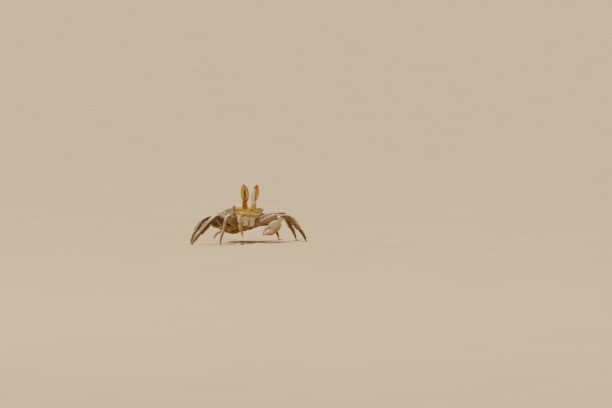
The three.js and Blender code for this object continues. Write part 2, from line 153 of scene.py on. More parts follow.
# A mesh of several surfaces, in metres, with the finish given by name. It stands for nodes.
def addPiece(name, surfaces, finish, nodes=()):
    whole = joined(surfaces)
    quads, tris = whole["quads"], whole["tris"]
    corners = np.concatenate([quads.reshape(-1), tris.reshape(-1)])
    starts = np.concatenate([np.arange(len(quads)) * 4, len(quads) * 4 + np.arange(len(tris)) * 3])
    points = (whole["points"] - stance["groundMiddle"]) * millimetre
    mesh = bpy.data.meshes.new(name)
    mesh.vertices.add(len(points))
    mesh.loops.add(len(corners))
    mesh.polygons.add(len(starts))
    mesh.vertices.foreach_set("co", points.astype(np.float32).reshape(-1))
    mesh.loops.foreach_set("vertex_index", corners.astype(np.int32))
    mesh.polygons.foreach_set("loop_start", starts.astype(np.int32))
    mesh.polygons.foreach_set("use_smooth", np.ones(len(starts), bool))
    mesh.update(calc_edges=True)
    marks = dict(whole["marks"])
    rootU, rootV = marks.pop("rootU", None), marks.pop("rootV", None)
    if rootU is not None:
        layer = mesh.uv_layers.new(name="OFBake")
        layer.data.foreach_set("uv", np.stack([rootU, rootV], axis=-1)[corners].reshape(-1))
    for label, mark in marks.items():
        mesh.attributes.new(label, "FLOAT", "POINT").data.foreach_set("value", mark.astype(np.float32))
    mesh.validate()
    mesh.materials.append(skins[finish])
    piece = newObject(name, mesh)
    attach(piece, "root")
    if nodes:
        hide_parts(*nodes)


# A closed grid moved outwards by the given height, square to its slopes along and round.
def raised(grid, height):
    around = np.roll(grid, -1, axis=1) - np.roll(grid, 1, axis=1)
    normals = np.cross(around, np.gradient(grid, axis=0))
    lengths = np.maximum(np.linalg.norm(normals, axis=-1, keepdims=True), 1e-9)
    return grid + normals / lengths * height[..., None]


def bodyTurn():
    a, b = np.radians([-stance["noseUp"], stance["leftDown"]])
    aboutX = np.array([[1, 0, 0], [0, cos(a), -sin(a)], [0, sin(a), cos(a)]])
    aboutY = np.array([[cos(b), 0, sin(b)], [0, 1, 0], [-sin(b), 0, cos(b)]])
    return aboutY @ aboutX


# Places measured from the middle of the shell, as places of the crab.
def onCrab(points):
    return np.asarray(points, float) @ bodyTurn().T + stance["bodySpot"]


# Limbs.
# A limb is a path from start to end with an oval section: height in its bending plane and width
# across it, both functions of the share t of its length. sharp draws the section to ridges above
# and below, boxy under 1 fills its corners, and relief adds its own height along the outward
# direction.
def limb(start, end, plane, height, width, lift=None, sharp=0.0, relief=None, boxy=1.0):
    start, end = np.asarray(start, float), np.asarray(end, float)
    along = unit(end - start)
    over = unit(np.cross(plane, along))
    return {"start": start, "end": end, "along": along, "over": over, "side": np.cross(over, along),
            "height": height, "width": width, "lift": lift, "sharp": sharp, "relief": relief, "boxy": boxy}


# Points and outward directions of a limb at the share t and the angle turn, 0 at its side and a
# quarter turn at its upper edge: centre + side * width * cos * (1 - sharp sin^2) + over * height * sin.
def onLimb(it, t, turn, shrink=1.0):
    t, turn = np.broadcast_arrays(t, turn)
    height, width = it["height"](t) * shrink, it["width"](t) * shrink
    middle = it["start"] + (it["end"] - it["start"]) * t[..., None]
    if it["lift"]:
        middle = middle + it["over"] * it["lift"](t)[..., None]
    cosine, sine = (np.sign(part) * np.abs(part) ** it["boxy"] for part in (cos(turn), sin(turn)))
    across = width * cosine * (1 - it["sharp"] * sin(turn) ** 2)
    points = middle + it["side"] * across[..., None] + it["over"] * (height * sine)[..., None]
    outward = unit(it["side"] * (cos(turn) * np.maximum(height, 1e-3))[..., None]
                   + it["over"] * (sin(turn) * np.maximum(width, 1e-3))[..., None] + 1e-9)
    if it["relief"]:
        points = points + outward * (it["relief"](t, turn, points) * shrink)[..., None]
    return points, outward


# The cup at the far end of a limb piece: the width of its rim, the share of the section that its
# wall takes, and how far it narrows to its bottom.
cups = {"rim": 0.28, "wall": 0.26, "narrow": 0.45}


# Rows of a limb piece: dense at its rounded root, over a rim at the far end and back into a cup,
# as pairs of the share along and the shrinking of the section.
def cuppedRows(count, length, cup):
    lip, wall = cups["rim"] / length, cups["wall"]
    t = (1 - cos(pi / 2 * np.linspace(0.02, 1, count))) * (1 - lip)
    fold = np.linspace(0, pi, 7)[1:]
    inner = np.linspace(0, 1, 6)[1:]
    shares = np.concatenate([t, 1 - lip + lip * sin(fold), 1 - lip - cup / length * inner])
    folded, narrowed = 1 - wall * (1 - cos(fold)) / 2, (1 - wall) * (1 - cups["narrow"] * inner)
    return shares, np.concatenate([np.ones(count), folded, narrowed])


# Rows of a limb piece that is round at both ends.
def roundRows(count):
    return (1 - cos(pi * np.linspace(0.01, 0.99, count))) / 2, np.ones(count)


# Angles round a section, as one row.
def turns(count):
    return np.linspace(0, 2 * pi, count, endpoint=False)[None, :]


# How far up a section an angle lies, less on the front face; low values take painted shade on legs.
# front is 1 or -1 by the side that the front is on, and 0 where it looks the same as the rear.
def riseOf(turn, front):
    return sin(turn) - 0.6 * front * cos(turn)


# The skin of a limb, with marks for the share along, the rise, and the joint skin in its cup.
def limbSurface(it, rows, cols, extra=None, front=0.0):
    t, shrink = (part[:, None] for part in rows)
    turn = turns(cols)
    grid, _ = onLimb(it, t, turn, shrink)
    marks = {"along": t, "rise": riseOf(turn, front), "skin": np.maximum.accumulate(t) - t > 1e-4}
    if extra:
        marks.update(extra(t, turn, grid))
    ends = np.stack([grid[0].mean(axis=0) - it["along"] * 0.02, grid[-1].mean(axis=0)])
    return tube(grid, marks, ends)


# Rounds a section to nothing over the shares near and far of its ends. An end that is closed by
# its rows takes noRound.
noRound = 1e-4


def endRound(t, near, far):
    a = np.clip(1 - t / near, 0, 1)
    b = np.clip(1 - (1 - t) / far, 0, 1)
    return np.sqrt(np.maximum(1 - a * a, 0)) * np.sqrt(np.maximum(1 - b * b, 0))


# The half size of a section that is rounded at its ends and narrows by a share along its length.
def rounded(size, near, far, taper=0.0):
    return lambda t: size * endRound(t, near, far) * (1 - taper * t)


# Shared shader groups.
def place(tree, kind, inputs=None, **settings):
    node = tree.nodes.new("ShaderNode" + kind)
    for key, value in settings.items():
        setattr(node, key, value)
    for key, value in (inputs or {}).items():
        if isinstance(value, bpy.types.NodeSocket):
            tree.links.new(value, node.inputs[key])
        else:
            node.inputs[key].default_value = value
    return node


def sums(tree, operation, a, b):
    return place(tree, "Math", {0: a, 1: b}, operation=operation).outputs[0]


def stepBetween(tree, value, low, high):
    inputs = {"Value": value, "From Min": low, "From Max": high}
    return place(tree, "MapRange", inputs, interpolation_type="SMOOTHSTEP").outputs["Result"]


def mixColor(tree, share, first, second):
    return place(tree, "Mix", {0: share, 6: first, 7: second}, data_type="RGBA").outputs[2]


# Screen values from 0 to 255 as the linear colour that a shader takes.
def tint(red, green, blue):
    c = np.array([red, green, blue]) / 255
    return (*np.where(c <= 0.04045, c / 12.92, ((c + 0.055) / 1.055) ** 2.4), 1.0)


def newGroup(name, inputs, outputs):
    group = bpy.data.node_groups.new(name, "ShaderNodeTree")
    for label, value in inputs.items():
        kind = "NodeSocketVector" if value is None else "NodeSocketFloat"
        socket = group.interface.new_socket(label, in_out="INPUT", socket_type=kind)
        if value is not None:
            socket.default_value = value
    for label in outputs:
        group.interface.new_socket(label, in_out="OUTPUT", socket_type="NodeSocketFloat")
    return group, group.nodes.new("NodeGroupInput").outputs, group.nodes.new("NodeGroupOutput").inputs


# Blotches, a finer net of veins and small dark dots, all from places in millimetres.
def mottleGroup():
    group, given, put = newGroup("mottle", {"Place": None, "Size": 2.0, "Cover": 0.5},
                                 ["Blotch", "Net", "Pepper"])
    scale = sums(group, "DIVIDE", 1.0, given["Size"])
    spot = given["Place"]
    blotch = place(group, "TexNoise", {"Vector": spot, "Scale": scale, "Detail": 3.0, "Roughness": 0.6,
                                       "Distortion": 0.6})
    low = sums(group, "SUBTRACT", 0.68, sums(group, "MULTIPLY", given["Cover"], 0.3))
    high = sums(group, "ADD", low, 0.11)
    group.links.new(stepBetween(group, blotch.outputs["Fac"], low, high), put["Blotch"])
    for label, times, edges, settings in [("Net", 2.2, (0.22, 0.03), {"feature": "DISTANCE_TO_EDGE"}),
                                          ("Pepper", 5.0, (0.3, 0.12), {})]:
        inputs = {"Vector": spot, "Scale": sums(group, "MULTIPLY", scale, times), "Randomness": 1.0}
        cells = place(group, "TexVoronoi", inputs, **settings)
        group.links.new(stepBetween(group, cells.outputs["Distance"], *edges), put[label])
    return group


# Height of fine round granules over a finer rough ground.
def granuleGroup():
    group, given, put = newGroup("granules", {"Place": None, "Size": 0.4, "Rough": 0.3}, ["Height"])
    scale = sums(group, "DIVIDE", 1.0, given["Size"])
    beads = place(group, "TexVoronoi", {"Vector": given["Place"], "Scale": scale, "Randomness": 0.8})
    dome = stepBetween(group, beads.outputs["Distance"], 0.55, 0.05)
    finer = sums(group, "MULTIPLY", scale, 3.0)
    fine = place(group, "TexNoise", {"Vector": given["Place"], "Scale": finer, "Detail": 3.0})
    rough = sums(group, "MULTIPLY", fine.outputs["Fac"], given["Rough"])
    group.links.new(sums(group, "ADD", dome, rough), put["Height"])
    return group


mottle = mottleGroup()
granules = granuleGroup()


# Finishes.
# Each coat starts with a ground colour, and its layers lie over that one after another: what masks
# the layer, its strength, its colour, and where the mask starts and ends if it is an eased step. A
# mask is a mark of the mesh or a pattern, or several multiplied. A list in a colour's place is a
# coat of its own.
glossNames = ("Roughness", "Coat Weight", "Coat Roughness", "Subsurface Weight", "Subsurface Scale", "IOR")
horn = (58, 36, 22)
jointSkin = (132, 88, 42)
finishes = {
    # grey-buff with dark blotches, a fine net and pepper, yellow at the front and orbits, pale on rims and
    # granules; the beaded rims are brightened as a painted highlight, the sunk orbits lightened with painted
    # light against their shade, the walls below the margin browned with painted shade, and a painted shadow
    # line runs down each front corner
    "mottledShell": {
        "gloss": (0.5, 0.12, 0.35, 0.08, 0.0008), "mottle": (1.7, 0.62), "fineMottle": (0.7, 0.5),
        "noises": {"warm": (0.16, 3.0)}, "granules": (0.34, 0.5), "relief": ("grain", 0.05),
        "coat": [
            # The brown ground is painted shade on the walls below the margin; the level step lifts it to pale
            # above.
            (132, 90, 44), ("level", 1, (244, 226, 182), -4.2, 0.2), ("upper", 1, (202, 188, 148)),
            ("warm", 0.6, (158, 136, 92), 0.45, 0.68), ("fineBlotch", 0.7, (140, 128, 92)),
            ("Blotch", 0.85, (86, 80, 58)), ("Net", 0.26, (222, 212, 178)),
            ("yellow", 1, [(255, 234, 132), ("warm", 1, (248, 206, 66), 0.42, 0.6)]),
            ("Pepper", 0.6, (62, 54, 38)), ("yellow*Blotch", 0.34, (190, 142, 38)),
            # orbit lightens the sunk orbits with painted light against their shade, over a pale yellow
            # lining.
            ("yellow*fineBlotch", 0.55, (255, 244, 176)), ("orbit", 0.75, (255, 240, 150)),
            # rim brightens the beaded rims and the ridge below the orbits as a painted highlight.
            ("groove", 2.4, (104, 90, 60)), ("bead", 0.3, (230, 222, 194)), ("rim", 0.6, (232, 222, 186)),
            # edge paints a dark shadow line down each front corner.
            ("edge", 0.7, (92, 66, 48)), ("spot", 0.75, (92, 66, 34)),
        ],
    },
    # tan plates, cream darkened by painted shade, browner towards the sutures, mottled where the tail shows
    # behind
    "creamBelly": {
        "gloss": (0.45, 0.1, 0.3, 0.1, 0.0008), "mottle": (1.3, 0.45), "granules": (0.25, 0.7),
        "relief": ("grain", 0.025),
        "coat": [
            (164, 128, 80), ("Blotch", 0.5, (112, 78, 40)),
            ("mottled", 1, [(172, 160, 122), ("Blotch", 1, (100, 90, 64))]), ("groove", 1, (84, 54, 26)),
        ],
    },
    # ivory, with painted shade in tan and orange along the lower edge, white teeth and a browner arm
    "porcelainClaw": {
        "gloss": (0.38, 0.25, 0.22, 0.12, 0.0009), "mottle": (1.5, 0.4), "granules": (0.22, 0.4),
        "relief": ("grain", 0.02),
        "coat": [
            (214, 194, 152), ("rise", 0.9, (180, 130, 56), 0.15, -0.8), ("tan", 0.8, (142, 100, 38)),
            ("Blotch", 0.4, (166, 134, 90)), ("bead", 1, (246, 240, 226)), ("skin", 1, jointSkin),
        ],
    },
    # amber with a golden middle that a painted highlight brightens round the streak, darker along its
    # border, and a black streak where the eye looks
    "amberCornea": {
        "gloss": (0.16, 0.8, 0.05, 0.1, 0.0006, 1.5), "noises": {"flecks": (2.2, 3.0)}, "facets": 9.0,
        "relief": ("facet", 0.008),
        "coat": [
            (142, 76, 2), ("along", 1, (212, 144, 14), 0.0, 0.4), ("glow", 1, (236, 196, 40)),
            ("along", 1, (150, 66, 2), 0.74, 0.96), ("border", 1, (132, 66, 2)),
            ("flecks", 0.4, (146, 78, 2), 0.5, 0.72), ("streak", 1, (10, 6, 3)),
        ],
    },
    # white along its inner side, amber at its foot and outer side, a painted orange highlight on the outer
    # side of the foot, a few brown dots, and painted shade where it borders the front of the cornea, strong
    # on the right eye and faint on the left
    "eyestalk": {
        "gloss": (0.35, 0.3, 0.15, 0.15, 0.0006), "mottle": (0.9, 0.4), "granules": (0.2, 0.5),
        "relief": ("grain", 0.015),
        "coat": [
            (242, 240, 226), ("gold", 1, (206, 164, 60)), ("amber", 1, (158, 96, 8)),
            ("bulb", 0.4, (196, 120, 16)), ("Pepper", 0.5, (120, 84, 40)), ("dusk", 1, (112, 66, 36)),
            ("knob", 1, (222, 174, 40)),
        ],
    },
    # bulky grey-cream plates with a little pepper
    "mouthCream": {
        "gloss": (0.5, 0.1, 0.3, 0.1, 0.0008), "mottle": (0.9, 0.45), "granules": (0.22, 0.6),
        "relief": ("grain", 0.025),
        "coat": [(240, 226, 194), ("Blotch", 0.4, (156, 134, 98)), ("Pepper", 0.4, (92, 76, 56)),
                 ("groove", 1, (104, 76, 48))],
    },
    # horn coloured, darker at the root
    "bristle": {
        "gloss": (0.45,), "noises": {"tone": (1.1, 2.0)}, "relief": ("tone", 0.004),
        "coat": [(110, 76, 34), ("along", 1, (196, 164, 104)), ("tone", 1, (142, 104, 54), 0.45, 0.65)],
    },
    # plain pale sand colour with a trace of grain
    "paleFloor": {
        "gloss": (0.85,), "noises": {"tone": (0.02, 4.0)}, "relief": ("tone", 0.02),
        "coat": [(201, 170, 121), ("tone", 1, (204, 174, 125), 0.3, 0.7)],
    },
}


# A leg: pale above with grey-brown bands and pepper, browner below and on its front face, partly its
# own colour and partly painted shade, a soft brown skin in each joint, and horn from tipStart on where
# the piece has a tip.
def legFinish(above, below, cover, tipStart=2.0):
    return {
        "gloss": (0.46, 0.12, 0.3, 0.12, 0.0008), "mottle": (1.2, cover), "granules": (0.24, 0.5),
        "relief": ("grain", 0.03),
        "coat": [
            above, ("rise", 1, below, 0.5, -0.4), ("Blotch", 0.6, (104, 82, 54)),
            ("Pepper", 0.45, (58, 42, 24)), ("crest", 0.7, (238, 226, 196)), ("skin", 1, jointSkin),
            ("along", 1, horn, tipStart - 0.1, tipStart),
        ],
    }


# The second colour is painted shade below and on the front face, lighter on the front legs.
finishes["leg"] = legFinish((230, 216, 180), (90, 52, 12), 0.5)
finishes["frontLeg"] = legFinish((230, 216, 180), (140, 102, 58), 0.5)
finishes["legTip"] = legFinish((204, 186, 146), (96, 60, 20), 0.4, 0.94)


# The patterns that a finish names, as sockets.
def patternsOf(tree, look, spot):
    patterns = {}
    for key, prefix in (("mottle", ""), ("fineMottle", "fine")):
        if key in look:
            inputs = {"Place": spot, "Size": look[key][0], "Cover": look[key][1]}
            for output in place(tree, "Group", inputs, node_tree=mottle).outputs:
                patterns[prefix + output.name] = output
    if "granules" in look:
        inputs = {"Place": spot, "Size": look["granules"][0], "Rough": look["granules"][1]}
        patterns["grain"] = place(tree, "Group", inputs, node_tree=granules).outputs["Height"]
    if "facets" in look:
        inputs = {"Vector": spot, "Scale": look["facets"], "Randomness": 0.25}
        patterns["facet"] = place(tree, "TexVoronoi", inputs).outputs["Distance"]
    for name, (scale, detail) in look.get("noises", {}).items():
        inputs = {"Vector": spot, "Scale": scale, "Detail": detail}
        patterns[name] = place(tree, "TexNoise", inputs).outputs["Fac"]
    return patterns


# The colour of a coat. A mask that is no pattern is read from the mesh.
def colorOf(tree, coat, patterns):
    ground = tint(*coat[0])
    for mask, strength, color, *step in coat[1:]:
        names = mask.split("*")
        for name in names:
            if name not in patterns:
                patterns[name] = place(tree, "Attribute", attribute_name=name).outputs["Fac"]
        share = stepBetween(tree, patterns[names[0]], *step) if step else patterns[names[0]]
        for factor in (*(patterns[name] for name in names[1:]), strength):
            share = sums(tree, "MULTIPLY", share, factor)
        over = colorOf(tree, color, patterns) if isinstance(color, list) else tint(*color)
        ground = mixColor(tree, share, ground, over)
    return ground


def makeFinish(name):
    look = finishes[name]
    material = bpy.data.materials.new(name)
    material.use_nodes = True
    tree = material.node_tree
    principled = tree.nodes["Principled BSDF"]
    for label, value in zip(glossNames, look["gloss"]):
        principled.inputs[label].default_value = value
    coords = place(tree, "TexCoord").outputs["Object"]
    spot = place(tree, "Mapping", {"Vector": coords, "Scale": (1000, 1000, 1000)}).outputs["Vector"]
    patterns = patternsOf(tree, look, spot)
    tree.links.new(colorOf(tree, look["coat"], patterns), principled.inputs["Base Color"])
    pattern, depth = look["relief"]
    inputs = {"Height": patterns[pattern], "Distance": depth * millimetre, "Strength": 1.0}
    tree.links.new(place(tree, "Bump", inputs).outputs["Normal"], principled.inputs["Normal"])
    return material


skins = {name: makeFinish(name) for name in finishes}
print("finishes made")


# The back plate.
shell = {
    "width": 23.1, "length": 19.8, "margin": 2.9, "notchDepth": 0.2, "notchSpan": (1.0, 2.0, 8.6, 10.2),
    "lobeReach": 0.55, "toothOut": 0.9, "toothForward": 1.6, "toothLift": 0.7, "orbitDepth": 1.7,
    "orbitSpan": (0.7, 1.7, 8.2, 9.8), "mouthDepth": 1.7, "mouthEdge": (4.0, 5.1), "sideDrop": 0.5,
    # scale, height, squareness, notches, orbits, mouth frame and lean of each level, bottom up
    "levels": [
        (0.64, -4.9, 3, 0, 0, 0.8, -0.2), (0.74, -3.8, 3.2, 0, 0, 1, 0.1),
        (0.85, -2.2, 3.5, 0, 0, 1, 0.2), (0.92, -1, 4, 0, 0, 0.5, 0.1),
        (0.955, -0.2, 4.5, 0, 0, 0, 0), (0.975, 0.5, 4.8, 0.4, 0.75, 0, 0.2),
        (0.985, 1.4, 5, 0.8, 1, 0, 0.3), (1, 2.4, 5, 1, 0.1, 0, 0), (0.97, 3.2, 5, 1, 0, 0, 0),
        (0.88, 3.75, 5, 0.8, 0, 0, 0), (0.68, 4.4, 5, 0.35, 0, 0, 0), (0.4, 4.85, 5, 0.05, 0, 0, 0),
        (0.12, 5, 5, 0, 0, 0, 0),
    ],
    "rimLevel": 7.2, "orbitRidge": 4.5, "seamLevel": 2.2,
    "rows": 136, "columns": (190, 112),
    # grooves of one half of the back: from, to, width and depth
    "grooves": [
        ((2.2, -1.8), (2.0, 0.6), 0.5, 0.3), ((2.0, 0.6), (2.7, 2.6), 0.5, 0.3),
        ((2.7, 2.6), (2.1, 5.4), 0.5, 0.24), ((0.0, 1.0), (2.0, 0.6), 0.5, 0.26),
        ((2.2, -1.8), (4.4, -3.6), 0.6, 0.24), ((4.4, -3.6), (8.2, -5.2), 0.75, 0.2),
        ((2.7, 2.6), (5.8, 4.0), 0.8, 0.14), ((0.0, -5.0), (0.0, -10.2), 0.4, 0.22),
    ],
    # swellings of one half of the back: place, reach and height
    "swellings": [((6.3, 1.2), (3.0, 4.2), 0.26), ((0.0, -3.2), (1.9, 2.2), 0.18),
                  ((0.0, 3.4), (1.5, 1.6), 0.14), ((6.6, -6.6), (2.2, 1.3), 0.14)],
    "beadPitch": 0.7, "beadHeight": 0.16, "ridgeSpan": (2.0, 2.8, 9.2, 10.2), "ridgeHeight": 0.2,
    "granuleSize": 0.62, "granuleHeight": 0.075, "seamDepth": 0.12,
    "domeSize": 0.95, "domeHeight": 0.14,
    # dark spots on one half of the front: place across, height and reach
    "spots": [(5.1, 1.4, 0.42), (5.9, 0.5, 0.36), (4.6, -0.5, 0.3), (7.4, -0.5, 0.45), (8.3, 1.3, 0.36),
              (6.6, 2.9, 0.34), (2.0, -0.9, 0.26)],
}


# Distance from places to the stretch between two points of a flat drawing.
def distanceTo(x, y, start, end):
    dx, dy = end[0] - start[0], end[1] - start[1]
    share = np.clip(((x - start[0]) * dx + (y - start[1]) * dy) / (dx * dx + dy * dy), 0, 1)
    return np.hypot(x - start[0] - share * dx, y - start[1] - share * dy)


# The plate's bare form: a rounded square outline carried up the levels, with the eye notches,
# the front lobe, the pointed corners, the sunk orbits and the mouth frame.
def shellForm():
    fine = np.linspace(0, len(shell["levels"]) - 1, 1600)
    profile = through(shell["levels"], fine)
    steps = np.hypot(np.diff(profile[:, 0]) * shell["width"] / 2, np.diff(profile[:, 1]))
    run = np.concatenate([[0], np.cumsum(steps)])
    s = np.interp(np.linspace(0, run[-1], shell["rows"]), run, fine)
    scale, level, square, notch, orbit, mouth, lean = through(shell["levels"], s).T[..., None]
    front, sides = shell["columns"]
    k, f = np.linspace(-1, 1, sides, endpoint=False), np.linspace(-1, 1, front, endpoint=False)
    qx = np.concatenate([np.ones(sides), -k, -np.ones(sides), f])[None, :]
    qy = np.concatenate([k, np.ones(sides), -k, -np.ones(front)])[None, :]
    norm = (np.abs(qx) ** square + np.abs(qy) ** square) ** (1 / square)
    unitY = qy / norm
    ahead = smooth(-0.75, -1.0, qy)
    x = shell["width"] / 2 * (qx / norm) * (1 - 0.09 * (unitY + 0.25) - 0.05 * np.maximum(0, unitY))
    opening = within(shell["notchSpan"], np.abs(x))
    y = shell["length"] / 2 * unitY * (1 - shell["notchDepth"] * notch * opening * ahead)
    y = y - shell["lobeReach"] * notch * bump(x, 0, 1.6) * ahead
    tooth = notch * bump(np.hypot(np.abs(qx) - 1, qy + 1), 0, 0.09)
    x = (x + np.sign(qx) * shell["toothOut"] * tooth) * scale
    y = (y - shell["toothForward"] * tooth) * scale
    z = level + shell["toothLift"] * tooth
    sunk = ahead * orbit * shell["orbitDepth"] * within(shell["orbitSpan"], np.abs(x))
    framed = mouth * shell["mouthDepth"] * (1 - smooth(*shell["mouthEdge"], np.abs(x)))
    y = y + ahead * (lean + framed) + sunk
    above = smooth(shell["margin"] - 0.5, shell["margin"] + 0.3, level)
    z = z - above * shell["sideDrop"] * scale**4 * (np.abs(x) / (shell["width"] / 2)) ** 2
    # corner masks the painted shadow line down each front corner.
    corner = bump(np.hypot(np.abs(qx) - 1, qy + 1), 0, 0.1)
    # orbits also masks the painted light that lightens the sunk orbits.
    orbits = np.clip(sunk / shell["orbitDepth"], 0, 1)
    grid = np.stack(np.broadcast_arrays(x, y, z), axis=-1)
    return grid, s[:, None], np.broadcast_to(ahead, x.shape), corner, orbits


# The plate's own relief: grooves, swellings, beaded margins, the ridge below the orbits, rough
# granules to the sides, and a seam along each wall.
def shellRelief(grid, s, ahead):
    x, y, z = np.moveaxis(grid, -1, 0)
    half = np.abs(x)
    top = smooth(2.4, 3.4, z)
    grooves = np.zeros(x.shape)
    for start, end, width, depth in shell["grooves"]:
        grooves = np.maximum(grooves, depth * bump(distanceTo(half, y, start, end), 0, width))
    swell = sum(h * bump(half, px, rx) * bump(y, py, ry) for (px, py), (rx, ry), h in shell["swellings"])
    rimRow = grid[np.argmin(np.abs(s[:, 0] - shell["rimLevel"]))]
    run = np.cumsum(np.linalg.norm(rimRow - np.roll(rimRow, 1, axis=0), axis=-1))[None, :]
    beads = 0.5 + 0.5 * cos(2 * pi * run / shell["beadPitch"])
    rim = bump(s, shell["rimLevel"], 0.32) * (0.7 + 0.6 * beads * (1 - ahead) + 0.25 * beads * ahead)
    below = bump(s, shell["orbitRidge"], 0.3) * ahead * within(shell["ridgeSpan"], half) * (1 + 0.8 * beads)
    toSides = 0.35 + 0.65 * smooth(2.5, 8.5, half)
    rough = domes(grid, shell["granuleSize"], 5, 0.42) * toSides * (0.5 + 0.5 * top)
    seamLine = bump(s, shell["seamLevel"] + 0.25 * sin(y * 0.7), 0.1) * (1 - ahead)
    height = (top * (swell - 1.25 * grooves) + shell["beadHeight"] * rim + shell["ridgeHeight"] * below
              + shell["granuleHeight"] * rough - shell["seamDepth"] * seamLine + 0.05 * cloud(grid, 1.7, 3))
    # The clipped sum of rim and ridge beads is also the mask of the painted highlight on them.
    return height, np.clip(rim + below, 0, 1), grooves * top, rough


# The plate as one closed grid, with the marks that its finish reads.
def buildShell():
    grid, s, ahead, corner, orbits = shellForm()
    height, rim, grooves, rough = shellRelief(grid, s, ahead)
    x, y, z = np.moveaxis(grid, -1, 0)
    half = np.abs(x)
    edgeNoise = 0.5 * cloud(grid, 1.4, 27)
    yellow = (smooth(-5.6, -7.6, y + edgeNoise) * (1 - smooth(7.6, 10.2, half + edgeNoise))
              * smooth(-2.3, -0.9, z + edgeNoise) * ahead)
    frontDomes = domes(grid, shell["domeSize"], 19, 0.46) * (1 - smooth(2.6, 3.4, z))
    height = height + shell["domeHeight"] * yellow * frontDomes
    spots = sum(bump(np.hypot(half - px, z - pz), 0, size) for px, pz, size in shell["spots"]) * ahead
    grid = raised(grid, height)
    z = grid[..., 2]
    marks = {
        # level also sets where the painted shade of the lower walls gives way to pale.
        "upper": smooth(1.8, 3.2, z), "level": z, "rim": rim * (1 - 0.75 * yellow),
        "yellow": yellow * (1 - 0.6 * smooth(3.4, 4.5, z)), "groove": grooves, "bead": rough,
        "spot": np.clip(1.4 * spots, 0, 1), "orbit": orbits,
        # The painted shadow line runs from below the tooth down to the lower wall.
        "edge": corner * smooth(3.2, 2.2, z) * smooth(-4.9, -3.0, z),
    }
    addPiece("backPlate", [tube(onCrab(grid), marks)], "mottledShell", ["carapace"])


buildShell()
print("back plate made")


# The legs' measures, which the belly's sockets need too.
sideWord = {-1: "right", 1: "left"}
legs = {
    # coarseAt is the half height of a merus whose relief is as deep as written
    "base": (7.8, -5.7), "tipRadius": 0.36, "bow": 0.5, "coxa": 0.47, "coarseAt": 2.6,
    # by row: where it leaves the body, lengths of its four pieces, half height of the merus
    "rows": {
        1: (-4.4, (15.6, 5.4, 8.2, 7.8), 2.5), 2: (-1.1, (17.0, 6.0, 8.6, 8.4), 2.85),
        3: (2.2, (14.8, 5.2, 8.0, 7.6), 2.55), 4: (5.2, (9.4, 4.0, 6.0, 5.8), 1.7),
    },
    # shares of that height: a piece's half height at its root and far end, and its half thickness
    "merus": (0.42, 0.58, 0.36), "carpus": (0.44, 0.55, 0.3), "propodus": (0.53, 0.43, 0.27),
    "dactyl": (0.4, 0.6),
    # side, row, turn forward at the merus and beyond the knee, slopes of carpus, propodus, dactyl
    "poses": [
        (-1, 1, 36, 20, (-14, -58, -62)), (-1, 2, 19, -10, (-28, -42, -48)),
        (-1, 3, 0, 8, (-22, -42, -60)), (-1, 4, -82, -96, (-24, -50, -56)),
        (1, 1, 42, 40, (-6, -52, -60)), (1, 2, 24, -3, (-4, -54, -58)),
        (1, 3, 0, -2, (-16, -52, -58)), (1, 4, -88, -90, (0, -30, -45)),
    ],
}


def heading(side, turn, slope):
    flat = cos(slope)
    return np.array([side * cos(np.radians(turn)) * flat, -sin(np.radians(turn)) * flat, sin(slope)])


# The joints of a leg from its socket to its tip on the ground. The merus takes the slope that is
# left over when the other three have taken theirs.
def legJoints(side, row, turn, shank, slopes):
    y, lengths, _ = legs["rows"][row]
    base = onCrab((side * legs["base"][0], y, legs["base"][1]))
    bends = np.radians(slopes)
    rise = np.arcsin((-np.sum(np.array(lengths[1:]) * sin(bends)) - base[2]) / lengths[0])
    joints = [base]
    for bend, way, length in zip([rise, *bends], [turn, (turn + shank) / 2, shank, shank], lengths):
        joints.append(joints[-1] + heading(side, way, bend) * length)
    return joints


def uprightPlane(start, end):
    return unit(np.array([end[1] - start[1], start[0] - end[0], 0.0]))


# The underside.
belly = {
    "half": (5.4, 6.6), "socketHalf": 0.95,
    # scale, height and socket bumps of each level, from the middle of the underside up
    "levels": [(0.03, -7.4, 0), (0.4, -7.38, 0.1), (0.8, -7.2, 0.5), (0.98, -6.2, 1.2), (1.0, -5.6, 1.3),
               (0.86, -5.1, 0.6)],
    "sutures": (-5.6, -2.75, 0.55, 3.8),
    "grooveDepth": 0.16, "stubBack": 2.6, "stubOut": 0.75,
    # the course of the tail's middle
    "tail": [(0, 9.75, 0.5), (0, 10.1, -1.6), (0, 9.4, -4.4), (0, 7.6, -6.4), (0, 4.4, -7.82),
             (0, 0.6, -7.82), (0, -2.6, -7.82)],
    "tailWidth": 3.3, "tailThickness": 0.34, "tailJoints": (0.1, 0.23, 0.36, 0.49, 0.62, 0.76, 0.89),
    # each ring of the tail rises towards its end and drops at the joint
    "tailSteps": ((0, 0.095, 0.105, 0.225, 0.235, 0.355, 0.365, 0.485, 0.495, 0.615, 0.625, 0.755, 0.765, 1),
                  (0, 1, 0, 1, 0, 1, 0, 1, 0, 1, 0, 1, 0, 0.6)),
}


